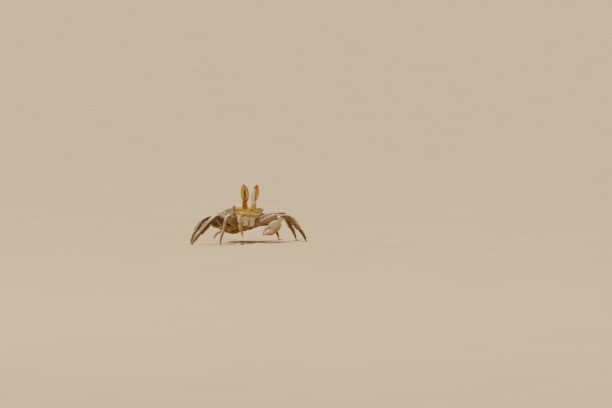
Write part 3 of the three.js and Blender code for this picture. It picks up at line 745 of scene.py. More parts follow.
# The breast plate is an oval carried up the levels, with a bump at each leg, crossed by sutures. A
# short stub leads to each leg and claw.
def buildBelly():
    s = np.linspace(0, len(belly["levels"]) - 1, 60)
    scale, z, reach = through(belly["levels"], s).T[..., None]
    turn = turns(260)
    y = belly["half"][1] * sin(turn)
    sockets = np.minimum(1, sum(bump(y, row[0], belly["socketHalf"]) for row in legs["rows"].values()))
    x = cos(turn) * (belly["half"][0] + reach * sockets)
    grid = np.stack(np.broadcast_arrays(x * scale, y * scale, z), axis=-1)
    half = np.abs(grid[..., 0])
    lines = sum(bump(grid[..., 1] + 0.12 * half, suture, 0.1) for suture in belly["sutures"])
    lines = lines * smooth(1.2, 2.2, half) + bump(grid[..., 0], 0, 0.12)
    grooves = smooth(-5.4, -6.3, grid[..., 2]) * np.clip(lines, 0, 1)
    height = -belly["grooveDepth"] * grooves + 0.05 * cloud(grid, 1.2, 8) + 0.03 * domes(grid, 0.6, 9, 0.4)
    surfaces = [tube(onCrab(raised(grid, height)), {"groove": grooves * 0.8})]
    for side, row, turnOut, _, _ in legs["poses"]:
        y, _, breadth = legs["rows"][row]
        x, z = legs["base"]
        start = onCrab((side * (x - belly["stubBack"]), y, z + 0.1))
        end = onCrab((side * x, y, z)) + heading(side, turnOut, 0.15) * belly["stubOut"]
        size = breadth * legs["coxa"]
        stub = limb(start, end, uprightPlane(start, end), rounded(size, 0.3, 0.12, 0.1),
                    rounded(size * 0.72, 0.3, 0.12),
                    relief=lambda t, turn, p: -0.16 * bump(t, 0.62, 0.03) + 0.04 * cloud(p, 0.8, 2))
        surfaces.append(limbSurface(stub, roundRows(34), 36))
    for side in (-1, 1):
        start, end = onCrab((side * 4.4, -5.9, -6.0)), onCrab((side * 5.5, -7.8, -5.75))
        shoulder = limb(start, end, (side * 1.0, 0.6, 0), rounded(1.15, 0.3, 0.2), rounded(1.0, 0.3, 0.2))
        surfaces.append(limbSurface(shoulder, roundRows(24), 36))
    addPiece("breastPlate", surfaces, "creamBelly", ["sternum"])


# The folded tail: a flat strip along its mid-line, parted by grooves into seven rings.
def buildTail():
    fine = through(belly["tail"], np.linspace(0, len(belly["tail"]) - 1, 600))
    run = np.concatenate([[0], np.cumsum(np.linalg.norm(np.diff(fine, axis=0), axis=-1))])
    t = (1 - cos(pi * np.linspace(0.02, 0.98, 190))) / 2
    middle = np.stack([np.interp(t * run[-1], run, fine[:, k]) for k in range(3)], axis=-1)
    along = unit(np.gradient(middle, axis=0))
    over = unit(np.cross((1, 0, 0), along))
    side = np.cross(over, along)
    turn = turns(72)
    t = t[:, None]
    bow = t + 0.012 * cos(turn) ** 2
    rings = np.clip(sum(bump(bow, joint, 0.006) for joint in belly["tailJoints"]), 0, 1)
    steps = np.interp(bow, *belly["tailSteps"])
    narrowed = np.sqrt(np.maximum(1 - t**6, 0))
    width = belly["tailWidth"] * (1 - 0.42 * t) * narrowed * endRound(t, 0.07, 0.02) * (1 - 0.03 * rings)
    thick = belly["tailThickness"] * endRound(t, 0.06, 0.03) * (1 - 0.5 * rings)
    ridge = (0.1 * bump(cos(turn), 0, 0.35) + 0.12 * steps) * np.maximum(sin(turn), 0)
    cosine = np.sign(cos(turn)) * np.abs(cos(turn)) ** 0.8
    grid = (middle[:, None] + side[:, None] * (width * cosine)[..., None]
            + over[:, None] * (thick * sin(turn) + ridge * narrowed)[..., None])
    grid = grid + over[:, None] * (0.03 * cloud(grid, 0.9, 4))[..., None]
    marks = {"groove": rings * 0.8, "mottled": smooth(0.4, 0.22, t)}
    addPiece("foldedTail", [tube(onCrab(grid), marks)], "creamBelly", ["abdomen"])


buildBelly()
buildTail()
print("underside made")


# Bristles: how far they stray and bend, the shares of their length where they have corners, how much
# they narrow, and the size of a bristle's patch on the unwrap.
bristles = {"stray": 0.18, "bend": 0.25, "corners": (0, 0.4, 0.75), "narrow": 0.55, "patch": 0.003}
bristleSurfaces = {"legs": [], "mouth": [], "claws": []}


# Bristles as three-sided spikes that bend along their sweep. Each has ten points: three rings of
# three and a tip. u and v are each root's place on the unwrap of the surface that it grows from.
def growBristles(kind, roots, outward, sweep, u, v, look):
    rng = np.random.default_rng(look["seed"])
    count = len(roots)
    stray = rng.normal(0, bristles["stray"], (count, 3))
    out = unit(outward + stray)
    way = unit(out * (1 - look["lay"]) + sweep * look["lay"])
    across = unit(np.cross(way, sweep + stray + 0.01))
    other = np.cross(way, across)
    length = look["length"] * rng.uniform(0.6, 1.15, count)[:, None, None]
    share = np.array(bristles["corners"])[None, :, None]
    bend = bristles["bend"]
    spine = ((roots - way * 0.04)[:, None] + way[:, None] * length * share
             + sweep[:, None] * length * bend * share**2)
    angles = (np.arange(3) * 2 * pi / 3)[None, :, None]
    ring = across[:, None] * cos(angles) + other[:, None] * sin(angles)
    radius = look["width"] / 2 * (1 - bristles["narrow"] * share)
    rings = spine[:, :, None] + ring[:, None] * radius[..., None]
    tips = roots + way * length[:, 0] + sweep * length[:, 0] * bend
    points = np.concatenate([rings.reshape(count, 9, 3), tips[:, None]], axis=1)
    first = (np.arange(count) * 10)[:, None]
    sides = np.array([[k, (k + 1) % 3, 3 + (k + 1) % 3, 3 + k] for k in range(3)])
    quads = np.concatenate([sides, sides + 3])
    tris = np.array([[0, 2, 1]] + [[6 + k, 6 + (k + 1) % 3, 9] for k in range(3)])
    heights = np.append(np.repeat(bristles["corners"], 3), 1)[None, :]
    spread = np.array([0, 0.5, 1] * 3 + [0.5])[None, :]
    bristleSurfaces[kind].append({
        "points": points.reshape(-1, 3),
        "quads": (quads[None] + first[..., None]).reshape(-1, 4),
        "tris": (tris[None] + first[..., None]).reshape(-1, 3),
        "marks": {
            "along": np.broadcast_to(heights, (count, 10)).reshape(-1),
            "rootU": (u[:, None] + (heights - 0.5) * bristles["patch"]).reshape(-1),
            "rootV": (v[:, None] + (spread - 0.5) * bristles["patch"]).reshape(-1),
        },
    })


# Bristles on a limb at the shares t and the angles turn, sweeping towards its tip.
def bristlesOn(kind, it, t, turn, patch, look):
    roots, outward = onLimb(it, t, turn)
    sweep = np.broadcast_to(it["along"], roots.shape)
    column, row, across, down = patch
    growBristles(kind, roots, outward, sweep, (column + 0.05 + 0.9 * np.clip(t, 0, 1)) / across,
                 (row + 0.05 + 0.9 * (turn / (2 * pi) % 1)) / down, look)


# Walking legs.
# A saw edge along the top of a piece: peaks a pitch apart, only near the upper or lower ridge.
def crest(t, turn, length, pitch, edge, sharpness=0.16):
    return bump(sin(turn) * edge, 1, sharpness) * (0.5 + 0.5 * cos(2 * pi * t * length / pitch))


# The last piece: a fluted oval along its bow, turned level towards its flat tip.
def dactylGrid(it, rows, cols):
    t = (1 - cos(pi / 2 * np.linspace(0.03, 1, rows)))[:, None]
    turn = turns(cols)
    flatOver = unit(it["over"] * (1, 1, 0))
    level = smooth(0.9, 1, t)[..., None]
    over = unit(it["over"] * (1 - level) + flatOver * level)
    side = unit(it["side"] * (1 - level) + np.cross(flatOver, (0, 0, -1)) * level)
    middle = it["start"] + (it["end"] - it["start"]) * t[..., None] + it["over"] * it["lift"](t)[..., None]
    flute = 1 + 0.1 * cos(6 * turn) * smooth(0.05, 0.25, t) * (1 - smooth(0.8, 0.95, t))
    across = it["width"](t) * cos(turn) * flute
    up = it["height"](t) * sin(turn) * flute
    return middle + side * across[..., None] + over * up[..., None], t, turn


# A shank piece, whose root is a round knuckle inside the cup of the piece before it.
def shankPiece(joints, i, breadth, shares, relief):
    root, end, thick = shares
    start = joints[i] - unit(joints[i + 1] - joints[i]) * 0.55 * root * breadth
    near = root * breadth / np.linalg.norm(joints[i + 1] - start)

    def form(t):
        return breadth * endRound(t, near, noRound) * (0.8 + 0.2 * smooth(0.5 * near, 2.2 * near, t))

    return limb(start, joints[i + 1], uprightPlane(joints[i], joints[i + 1]),
                lambda t: form(t) * (root + (end - root) * t), lambda t: form(t) * thick, relief=relief)


# One leg: an oval merus between saw edges, two keeled shank pieces, and the fluted last piece.
def buildLeg(number, side, row, turnOut, shank, slopes):
    joints = legJoints(side, row, turnOut, shank, slopes)
    _, lengths, breadth = legs["rows"][row]
    word = sideWord[side]
    front = -side
    coarse = (breadth / legs["coarseAt"]) ** 2

    def merusRelief(t, turn, p):
        striae = sin(2 * pi * (t * lengths[0] / 0.62) + 2.2 * cloud(p, 1.3, 6))
        return coarse * (0.16 * crest(t, turn, lengths[0], 0.75, 1) * smooth(0.22, 0.35, t)
                         + 0.1 * crest(t, turn, lengths[0], 0.7, -1) * smooth(0.3, 0.5, t)
                         + 0.03 * striae * np.abs(cos(turn)) * smooth(0.2, 0.35, t)
                         - 0.16 * bump(t, 0.165, 0.009) + 0.1 * bump(t, 0.965, 0.014)
                         + 0.04 * cloud(p, 1.1, number))

    def carpusRelief(t, turn, p):
        keels = bump(turn, np.radians(58), 0.16) + bump(turn, np.radians(122), 0.16)
        return coarse * (0.12 * keels * smooth(0.15, 0.35, t) + 0.05 * crest(t, turn, lengths[1], 0.6, 1, 0.3)
                         + 0.1 * bump(t, 0.93, 0.04) + 0.035 * cloud(p, 0.9, number + 20))

    def propodusRelief(t, turn, p):
        keels = 0.5 + 0.5 * cos(4 * (turn - pi / 2))
        return coarse * (0.11 * keels**3 * smooth(0.12, 0.3, t)
                         + 0.06 * crest(t, turn, lengths[2], 0.65, 1, 0.3)
                         + 0.08 * bump(t, 0.95, 0.025) + 0.03 * cloud(p, 0.9, number + 40))

    root, end, thick = legs["merus"]
    merus = limb(joints[0], joints[1], uprightPlane(joints[0], joints[1]),
                 lambda t: breadth * endRound(t, 0.05, noRound)
                 * (root + (1 - root) * smooth(0.2, 0.56, t) - (1 - end) * smooth(0.62, 1, t)),
                 lambda t: breadth * thick * endRound(t, 0.05, noRound) * (1 - 0.15 * t),
                 sharp=0.3, relief=merusRelief)
    carpus = shankPiece(joints, 1, breadth, legs["carpus"], carpusRelief)
    propodus = shankPiece(joints, 2, breadth, legs["propodus"], propodusRelief)
    size, flat = legs["dactyl"][0] * breadth, legs["dactyl"][1]
    tipAlong = unit(joints[4] - joints[3])
    dactylStart = joints[3] - tipAlong * 0.5 * size

    def taper(t):
        narrow = size + (legs["tipRadius"] - size) * t
        return narrow * endRound(t, 0.13, noRound) * (0.82 + 0.18 * smooth(0.05, 0.25, t))

    dactyl = limb(dactylStart, joints[4], uprightPlane(joints[3], joints[4]), taper,
                  lambda t: taper(t) * (flat + (1 - flat) * smooth(0.94, 1, t)),
                  lift=lambda t: legs["bow"] * sin(pi * t))

    def edgeMarks(t, turn, p):
        return {"crest": bump(np.abs(sin(turn)), 1, 0.1) * (0.6 + 0.4 * (sin(turn) > 0))}

    def legPiece(part, surface, finish):
        addPiece(f"{word}Leg{row}{part}", [surface], finish, [f"leg_{word}_{row}_{part.lower()}"])

    parts = [("Merus", merus, cuppedRows(120, lengths[0], cup=0.9), 64),
             ("Carpus", carpus, cuppedRows(60, lengths[1], cup=0.7), 56),
             ("Propodus", propodus, cuppedRows(80, lengths[2], cup=0.6), 56)]
    finish = "frontLeg" if row == 1 else "leg"
    for part, it, rows, cols in parts:
        legPiece(part, limbSurface(it, rows, cols, edgeMarks, front), finish)
    grid, t, turn = dactylGrid(dactyl, 80, 48)
    marks = {"along": t, "rise": riseOf(turn, front), "crest": 0.4 * bump(cos(3 * turn), 1, 0.3)}
    legPiece("Dactyl", tube(grid, marks, [grid[0].mean(axis=0), joints[4]]), "legTip")
    growLegBristles(number, row, merus, propodus, dactyl)


# Fringes on the edges of a leg: short ones on the merus, longer along shank and dactyl.
def growLegBristles(number, row, merus, propodus, dactyl):
    rng = np.random.default_rng(100 + number)
    short = 0.8 if row == 4 else 1.0
    edges = [pi / 2, -pi / 2]
    plans = [
        (merus, 220, (0.25, 0.95), edges, 0.25, {"length": 0.6, "lay": 0.5, "width": 0.05}),
        (propodus, 380, (0.15, 0.95), edges, 0.38, {"length": 0.95, "lay": 0.6, "width": 0.052}),
        (dactyl, 480, (0.1, 0.8), np.radians([60, 120, 240, 300]), 0.22,
         {"length": 0.75, "lay": 0.66, "width": 0.05}),
    ]
    for k, (it, count, (low, high), edges, spread, look) in enumerate(plans):
        t = rng.uniform(low, high, count)
        turn = rng.choice(edges, count) + rng.normal(0, spread, count)
        look = {**look, "length": look["length"] * short, "seed": 10 * number + k}
        bristlesOn("legs", it, t, turn, (k, number, 3, 8), look)


for number, pose in enumerate(legs["poses"]):
    buildLeg(number, *pose)
print("legs made")


# Eyes.
eyes = {
    "base": {"right": (-2.85, -9.75, 1.5), "left": (3.25, -9.5, 1.5)}, "forward": 0.083,
    "tipHeight": {"right": 32.0, "left": 31.6}, "lean": {"right": 9.5, "left": 7}, "stalkRadius": 1.25,
    "stripProud": 0.9, "corneaRadius": 2.2, "corneaLength": 10.2,
    # The first entry is how strongly each stalk takes painted shade beside the front of its cornea.
    "dusk": {"right": 0.8, "left": 0.1}, "streakAngle": 56, "streakWidth": 14, "glowWidth": 42,
    "borderWidth": 0.55, "stalkEnd": 0.92,
}


# An eye is an egg on the outer side of its stalk, which bends inwards round it and ends in a knob.
def buildEye(side):
    word = sideWord[side]
    base = onCrab(eyes["base"][word])
    rise = eyes["tipHeight"][word] - base[2]
    tip = base + np.array([side * np.tan(np.radians(eyes["lean"][word])), -eyes["forward"], 1]) * rise
    along = unit(tip - base)
    inward = np.array([-side, 0.0, 0.0])
    across = unit(np.cross(inward, along))
    start = 1 - eyes["corneaLength"] / np.linalg.norm(tip - base)
    turn = turns(144)

    # Radius of the egg at the share t of the whole eye, and of the stalk along its inner side.
    def egg(t):
        x = np.clip((t - start) / (1 - start), 0, 1)
        return eyes["corneaRadius"] * np.maximum(sin(pi * x**0.92), 0) ** 0.62

    def strip(t):
        swell = eyes["stalkRadius"] * (1.38 - 0.25 * smooth(0.08, 0.26, t) - 0.08 * smooth(0.26, 0.45, t))
        return swell * np.sqrt(np.maximum(0.1, 1 - smooth(0.74, 0.9, t) ** 2))

    # How far the stalk's middle lies inwards of the eye's.
    def proud(t):
        return np.maximum(0, egg(t) - strip(t) + eyes["stripProud"])

    def middleAt(t, offset):
        return base + (tip - base) * t[..., None] + inward * offset[..., None]

    def ringAt(t, radius, wide, offset):
        return (middleAt(t, offset) + across * (radius * wide * cos(turn))[..., None]
                + inward * (radius * sin(turn))[..., None])

    t = eyes["stalkEnd"] * (1 - cos(pi * np.linspace(0.01, 0.985, 130)))[:, None] / 2
    radius = strip(t) * endRound(t / eyes["stalkEnd"], 0.08, 0.05)
    radius = radius - 0.12 * bump(t, 0.13, 0.018) + 0.05 * bump(t, 0.2, 0.05)
    grid = ringAt(t, radius, 1.0, smooth(start - 0.12, start + 0.12, t) * proud(t))
    lateral = 0.5 - 0.5 * sin(turn)
    forward = -side * cos(turn)
    borderSpan = (start - 0.04, start + 0.08, 0.8, 0.88)
    marks = {
        "amber": smooth(0.38, 0.66, lateral), "knob": smooth(0.8, 0.88, t),
        "gold": smooth(0.34, 0.24, t) * (1 - smooth(0.45, 0.7, lateral)),
        # A painted orange highlight low on the outer side of the foot.
        "bulb": smooth(0.13, 0.09, t) * lateral,
        # Painted shade on the stalk where it borders the front of the cornea.
        "dusk": eyes["dusk"][word] * smooth(-0.2, 0.5, forward) * within(borderSpan, t),
    }
    stalk = tube(raised(grid, 0.025 * cloud(grid, 0.7, 12)), marks)
    addPiece(f"{word}Eyestalk", [stalk], "eyestalk", [f"eyestalk_{word}"])

    x = (1 - cos(pi * np.linspace(0.012, 0.965, 200)))[:, None] / 2
    t = start + (1 - start) * x
    grid = ringAt(t, egg(t), 0.95, np.zeros_like(t))
    angle = np.degrees(np.arctan2(forward, -sin(turn)))
    streak = bump(angle, eyes["streakAngle"], eyes["streakWidth"] * (0.3 + 0.95 * sin(pi * x)))
    # A painted highlight of bright gold round the streak.
    glow = bump(angle, eyes["streakAngle"], eyes["glowWidth"])
    away = np.linalg.norm(grid - middleAt(t, proud(t)), axis=-1) - strip(t)
    marks = {
        "along": x, "border": 0.75 * (1 - smooth(0.05, eyes["borderWidth"], away)),
        "streak": np.clip(1.4 * streak * smooth(0.12, 0.32, x) * (1 - smooth(0.56, 0.86, x)), 0, 1),
        "glow": 0.85 * glow * smooth(0.1, 0.4, x) * (1 - smooth(0.7, 0.9, x)),
    }
    addPiece(f"{word}Cornea", [tube(grid, marks)], "amberCornea", [f"cornea_{word}"])


for side in (-1, 1):
    buildEye(side)
print("eyes made")


# Mouth and feelers.
mouth = {
    "x": 2.3, "half": (2.26, 1.1), "bottom": (-7.3, -7.1), "top": (-8.4, -1.65), "hinge": 0.6,
    # from, to, radii and rows of the outer limb and the three pieces of the palp
    "rods": [
        ((4.75, -7.3, -6.2), (4.7, -8.7, -2.0), (0.5, 0.38), 40),
        ((1.15, -9.4, -1.9), (0.65, -9.45, -2.9), (0.34, 0.3), 26),
        ((0.65, -9.5, -2.8), (0.6, -9.3, -4.0), (0.3, 0.26), 26),
        ((0.6, -9.35, -3.9), (0.7, -9.05, -4.9), (0.24, 0.22), 26),
    ],
    "feelerBase": (1.5, -10.2, -0.1), "feelerTip": (3.7, -11.1, 0.5), "feelerRadius": 0.34,
    "smallFeeler": ((0.75, -9.6, 0.1), (1.1, -10.6, 0.5), (0.26, 0.24), 26), "bristles": 420,
}


# A mouth lid with its hinge and furrow, its rods, and the feeler above it.
def buildMouth(side):
    word = sideWord[side]
    start, end = (onCrab((side * mouth["x"], *mouth[edge])) for edge in ("bottom", "top"))
    plane = bodyTurn() @ np.array([1.0, 0, 0])

    # Height along the lid, slanted as its hinge is.
    def slanted(t, turn):
        return t - 0.05 * cos(turn) * side

    def lidRelief(t, turn, p):
        hinge = bump(slanted(t, turn), mouth["hinge"], 0.014)
        furrow = bump(cos(turn) * side, 0.25, 0.1) * smooth(0.62, 0.5, t) * smooth(0.05, 0.15, t)
        ahead = sin(turn) > 0
        return -0.2 * hinge - 0.14 * furrow * ahead + 0.04 * cloud(p, 0.8, 7) + 0.035 * domes(p, 0.5, 3, 0.4)

    def lidMarks(t, turn, p):
        return {"groove": 0.8 * bump(slanted(t, turn), mouth["hinge"], 0.02)}

    wide, thick = mouth["half"]
    lid = limb(start, end, plane, rounded(thick, 0.3, 0.3), rounded(wide, 0.16, 0.2, 0.1), relief=lidRelief,
               boxy=0.76)

    def rod(first, last, radii, rows):
        ends = (onCrab(np.array(end) * (side, 1, 1)) for end in (first, last))
        form = limb(*ends, plane, rounded(radii[0], 0.3, 0.3, 0.2), rounded(radii[1], 0.3, 0.3))
        return limbSurface(form, roundRows(rows), 28)

    rods = [rod(*measures) for measures in mouth["rods"]]
    surfaces = [limbSurface(lid, roundRows(110), 110, lidMarks), *rods]
    addPiece(f"{word}Mouthpart", surfaces, "mouthCream", [f"maxilliped_{word}"])

    base, tip = (np.array(mouth[spot]) for spot in ("feelerBase", "feelerTip"))
    course, radius = tip - base, mouth["feelerRadius"]
    elbow = base + course * 0.45
    taper = rounded(0.6 * radius, 0.08, 0.05, 0.38 / 0.6)
    lash = limb(onCrab(elbow * (side, 1, 1)), onCrab(tip * (side, 1, 1)), plane, taper, taper,
                relief=lambda t, turn, p: 0.03 * cos(2 * pi * t * 6))
    feeler = [rod(base - course * 0.12, elbow + course * 0.04, (radius, radius * 0.9), 26),
              limbSurface(lash, roundRows(60), 20), rod(*mouth["smallFeeler"])]
    addPiece(f"{word}Feeler", feeler, "mouthCream", [f"antenna_{word}"])

    rng = np.random.default_rng(40 + side)
    count = mouth["bristles"]
    t, inner = rng.uniform(0.05, 0.95, count), (pi if side < 0 else 0.0)
    turn = rng.choice([inner, pi - inner], count, p=[0.8, 0.2]) + rng.normal(0.25, 0.3, count)
    bristlesOn("mouth", lid, t, turn, (0 if side < 0 else 1, 0, 2, 1),
               {"length": 0.7, "lay": 0.35, "width": 0.07, "seed": 50 + side})


for side in (-1, 1):
    buildMouth(side)
print("mouth made")


# Claws.
claws = {
    # face is the outer side's direction, palm the hand's half height and half thickness, arm the half
    # height of the arm, share where the fingers part, and the last entry how strongly the lower edges take
    # painted shade
    "left": {
        "side": 1, "elbow": (14.6, -16.8, 14.0), "wrist": (16.2, -18.8, 11.2), "tips": (3.2, -17.2, 4.0),
        "face": (-0.35, -0.9, 0.1), "palm": (3.0, 1.6), "arm": 1.75, "heel": 1.65, "share": 0.56, "teeth": 8,
        "tan": 1.0, "warmth": 1.0,
    },
    "right": {
        "side": -1, "elbow": (-11.9, -14.1, 14.8), "wrist": (-12.8, -14.8, 11.2), "tips": (-8.4, -13.4, 3.2),
        "face": (-0.8, 0.55, -0.3), "palm": (1.5, 0.8), "arm": 1.2, "heel": 0.45, "share": 0.5, "teeth": 7,
        "tan": 0.2, "warmth": 0.3,
    },
    "shoulder": (5.4, -7.6, -5.8), "bigPalm": 3.0,
    # bristles of the arm and the hand
    "bristles": (120, 150),
}


# What the pieces of a claw share: its places, the plane that its hand bends in, and big, its size as
# a share of the bigger claw's.
def clawPlan(word):
    it = claws[word]
    x, y, z = claws["shoulder"]
    elbow, wrist, tips = (np.array(it[name]) for name in ("elbow", "wrist", "tips"))
    big = it["palm"][0] / claws["bigPalm"]
    palmStart = wrist + unit(tips - wrist) * (it["heel"] - 0.5 * big)
    return {**it, "word": word, "shoulder": onCrab((it["side"] * x, y, z)), "elbow": elbow, "wrist": wrist,
            "tips": tips, "plane": -unit(np.array(it["face"])), "big": big, "palmStart": palmStart,
            "handLength": np.linalg.norm(tips - palmStart)}


def clawPiece(it, part, surfaces):
    word = it["word"]
    addPiece(f"{word}Claw{part}", surfaces, "porcelainClaw", [f"claw_{word}_{part.lower()}"])


# Pale granules on the outer face, and the rise that the painted shade of the lower edge follows.
def clawMarks(it):
    return lambda t, turn, p: {"bead": 0.6 * domes(p, 0.8, 15, 0.3) * smooth(-0.3, 0.4, cos(turn)),
                               "rise": it["warmth"] * sin(turn)}


# The arm: an oval with a saw edge above and below, tan, paler along the upper edge, with painted shade along
# its lower side.
def buildArm(it):
    shoulder, elbow, big = it["shoulder"], it["elbow"], it["big"]
    length = np.linalg.norm(elbow - shoulder)
    form = rounded(it["arm"], 0.08, noRound)

    def relief(t, turn, p):
        saws = 0.16 * crest(t, turn, length, 0.85, 1) + 0.1 * crest(t, turn, length, 0.85, -1)
        return (big * (saws + 0.05 * domes(p, 0.6, 11, 0.42)) - 0.14 * bump(t, 0.2, 0.012)
                + 0.05 * cloud(p, 1.1, 31))

    def marks(t, turn, p):
        return {"bead": 0.3 * domes(p, 0.8, 15, 0.3), "rise": it["warmth"] * sin(turn),
                "tan": it["tan"] * (1 - 0.6 * bump(sin(turn), 1, 0.2))}

    arm = limb(shoulder, elbow, unit(np.cross((0, 0, 1), elbow - shoulder)),
               lambda t: form(t) * (0.6 + 0.4 * smooth(0.1, 0.6, t)) * (1 - 0.12 * smooth(0.85, 1, t)),
               lambda t: form(t) * (0.55 + 0.3 * smooth(0.1, 0.7, t)), sharp=0.15, relief=relief)
    clawPiece(it, "Arm", [limbSurface(arm, cuppedRows(100, length, 0.7), 76, marks)])
    return arm


# The wrist: a rounded knuckle with granules and one low spine.
def buildWrist(it):
    elbow, wrist, size, big = it["elbow"], it["wrist"], it["arm"], it["big"]
    along = unit(wrist - elbow)

    def relief(t, turn, p):
        spine = bump(turn, 2.6, 0.3) * bump(t, 0.6, 0.16)
        return big * (0.09 * domes(p, 0.7, 13, 0.44) + 0.25 * spine) + 0.05 * cloud(p, 1.2, 14)

    knuckle = limb(elbow + along * 0.1, wrist + along * 0.25, it["plane"], rounded(size * 0.96, 0.55, 0.45),
                   rounded(size * 0.85, 0.55, 0.45), relief=relief)
    clawPiece(it, "Wrist", [limbSurface(knuckle, roundRows(90), 90, clawMarks(it))])


# The hand: a deep palm that narrows beyond the share to the fixed finger, with teeth along its top.
def buildHand(it):
    high, thick = it["palm"]
    big, share, length = it["big"], it["share"], it["handLength"]
    form, flat = rounded(high, 0.34, 0.035), rounded(thick, 0.26, 0.035)

    def split(t):
        return smooth(share - 0.06, share + 0.051, t)

    def relief(t, turn, p):
        palm = 1 - split(t)
        outer = smooth(-0.3, 0.4, cos(turn))
        grains = 0.13 * domes(p, 0.8 * big, 15, 0.44) * (0.35 + 0.65 * outer) * (0.25 + 0.75 * palm)
        saws = (0.17 * crest(t, turn, length, 0.8 * big, 1) * palm
                + 0.15 * crest(t, turn, length, 0.8 * big, -1) * (1 - smooth(0.8, 0.95, t)))
        rasp = bump(t, 0.4, 0.022) * (0.5 + 0.5 * cos(2 * pi * sin(turn) * high / 0.28))
        rasp = 0.12 * rasp * smooth(-0.5, -0.8, cos(turn))
        keel = 0.12 * bump(sin(turn), -0.25, 0.12) * outer * smooth(0.45, 0.6, t)
        return big * (grains + saws + rasp + keel) + 0.04 * cloud(p, 1.4, 16)

    hand = limb(it["palmStart"], it["tips"], it["plane"],
                lambda t: form(t) * (1 - 0.58 * split(t)) * (1 - 0.72 * smooth(share, 1, t)),
                lambda t: flat(t) * (1 - 0.75 * smooth(share - 0.1, 1, t)),
                lift=lambda t: -high * (0.55 * split(t) - 0.5 * smooth(share, 1, t)), relief=relief)
    teeth = teethAlong(hand, it["teeth"], (share + 0.12, 0.95), pi / 2, big)
    clawPiece(it, "Hand", [limbSurface(hand, roundRows(210), 130, clawMarks(it)), *teeth])
    return hand


# The free finger: a taper that bows over the fixed one, with teeth along its underside.
def buildFinger(it):
    high, thick = it["palm"]
    start, tips, big = it["palmStart"], it["tips"], it["big"]

    def relief(t, turn, p):
        grains = 0.09 * domes(p, 0.6 * big, 17, 0.42) * (1 - smooth(0.4, 0.9, t))
        saw = 0.12 * crest(t, turn, it["handLength"] * 0.45, 0.7 * big, 1) * (1 - smooth(0.6, 0.9, t))
        keel = 0.1 * bump(sin(turn), 0.2, 0.14) * smooth(-0.2, 0.5, cos(turn))
        return big * (grains + saw + keel) + 0.02 * cloud(p, 1.0, 18)

    finger = limb(start + (tips - start) * (it["share"] + 0.005), tips, it["plane"],
                  rounded(high * 0.36, 0.2, 0.06, 0.7), rounded(thick * 0.62, 0.2, 0.06, 0.65),
                  lift=lambda t: high * (0.52 + 0.1 * sin(pi * t) - 0.4 * t**2), relief=relief)
    teeth = teethAlong(finger, it["teeth"], (0.2, 0.93), -pi / 2, big)
    clawPiece(it, "Finger", [limbSurface(finger, roundRows(120), 80, clawMarks(it)), *teeth])


# Low cones along a cutting edge, larger in its middle, sunk into the finger at their foot.
def teethAlong(it, count, span, edge, big):
    shares = np.linspace(*span, count)
    roots, outward = onLimb(it, shares, np.full(count, edge))
    swell = 0.45 + 0.55 * sin(pi * (shares - span[0]) / (span[1] - span[0]))
    heights = big * 0.42 * swell * it["height"](shares) / it["height"](shares[0])
    surfaces = []
    for root, out, tall in zip(roots, outward, heights):
        cone = limb(root - out * 0.35 * tall, root + out * tall, it["side"],
                    lambda t: tall * 0.75 * (1 - t**1.6) * endRound(t, 0.1, 0.02) + 0.01,
                    lambda t: tall * 0.6 * (1 - t**1.6) * endRound(t, 0.1, 0.02) + 0.01)
        surfaces.append(limbSurface(cone, roundRows(12), 16, lambda t, turn, p: {"bead": 1.0}))
    return surfaces


def buildClaw(word):
    it = clawPlan(word)
    arm = buildArm(it)
    buildWrist(it)
    hand = buildHand(it)
    buildFinger(it)
    rng = np.random.default_rng(60 + it["side"])
    for k, (piece, count) in enumerate(zip((arm, hand), claws["bristles"])):
        t = rng.uniform(0.15, 0.85, count)
        turn = -pi / 2 + rng.normal(0, 0.5, count)
        bristlesOn("claws", piece, t, turn, (k, 0 if it["side"] < 0 else 1, 2, 2),
                   {"length": 0.55, "lay": 0.5, "width": 0.06, "seed": 70 + k + it["side"]})


buildClaw("left")
buildClaw("right")
print("claws made")

for kind, slot in (("legs", "leg"), ("mouth", "mouthparts"), ("claws", "claw")):
    addPiece(f"{kind}Bristles", bristleSurfaces[kind], "bristle")
print("bristles made")


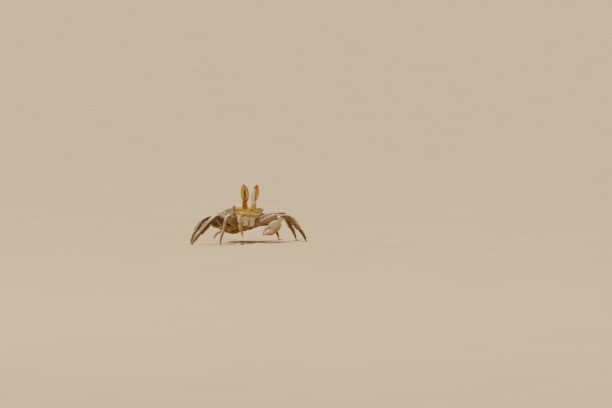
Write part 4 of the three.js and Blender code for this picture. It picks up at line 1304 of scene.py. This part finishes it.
# Floor, light and camera.
studio = {
    "floorHalf": 14.0, "azimuth": -45.0, "elevation": 3.0, "lens": 400.0, "distance": 3.74, "sensor": 36.0,
    "aside": 38.0, "above": 20.6, "clipEnd": 100.0,
    "sunWay": (-0.07, 0.49, 0.8), "sunStrength": 5.2, "sunWidth": 6.0, "sunColor": (1.0, 0.96, 0.88),
    "fill": (1.0, 0.93, 0.82), "fillStrength": 0.36,
    # the soft lamp that draws the highlights on eyes and claws
    "lampSpot": (-0.75, -0.3, 0.55), "lampSize": 0.22, "lampPower": 1.6,
}


def buildFloor():
    half = studio["floorHalf"]
    mesh = bpy.data.meshes.new("floor")
    corners = [(-half, -half, 0), (half, -half, 0), (half, half, 0), (-half, half, 0)]
    mesh.from_pydata(corners, [], [(0, 1, 2, 3)])
    mesh.materials.append(skins["paleFloor"])
    newObject("floor", mesh)


# Turns a lamp or camera to look back along a direction.
def faceFrom(thing, way):
    thing.rotation_euler = Vector(way).to_track_quat("Z", "Y").to_euler()


def buildLight():
    lamp = bpy.data.lights.new("softSun", "SUN")
    lamp.energy = studio["sunStrength"]
    lamp.angle = np.radians(studio["sunWidth"])
    lamp.color = studio["sunColor"]
    faceFrom(newObject("softSun", lamp), studio["sunWay"])
    soft = bpy.data.lights.new("softBox", "AREA")
    soft.energy = studio["lampPower"]
    soft.size = studio["lampSize"]
    box = newObject("softBox", soft)
    box.location = studio["lampSpot"]
    faceFrom(box, studio["lampSpot"])
    world = bpy.data.worlds.new("studio")
    world.use_nodes = True
    background = world.node_tree.nodes["Background"]
    background.inputs["Color"].default_value = (*studio["fill"], 1.0)
    background.inputs["Strength"].default_value = studio["fillStrength"]
    bpy.context.scene.world = world


# The camera looks from the crab's right front, a little down, and the crab stands left of centre.
def buildCamera():
    turn, tilt = np.radians([studio["azimuth"], studio["elevation"]])
    back = np.array([sin(turn) * cos(tilt), -cos(turn) * cos(tilt), sin(tilt)])
    right = np.array([cos(turn), sin(turn), 0.0])
    up = np.cross(back, right)
    target = (right * studio["aside"] + up * studio["above"] - stance["groundMiddle"]) * millimetre
    lens = bpy.data.cameras.new("camera")
    lens.lens = studio["lens"]
    lens.sensor_width = studio["sensor"]
    lens.clip_end = studio["clipEnd"]
    camera = newObject("camera", lens)
    camera.location = target + back * studio["distance"]
    faceFrom(camera, back)
    bpy.context.scene.camera = camera


buildFloor()
buildLight()
buildCamera()
print("floor, light and camera made")
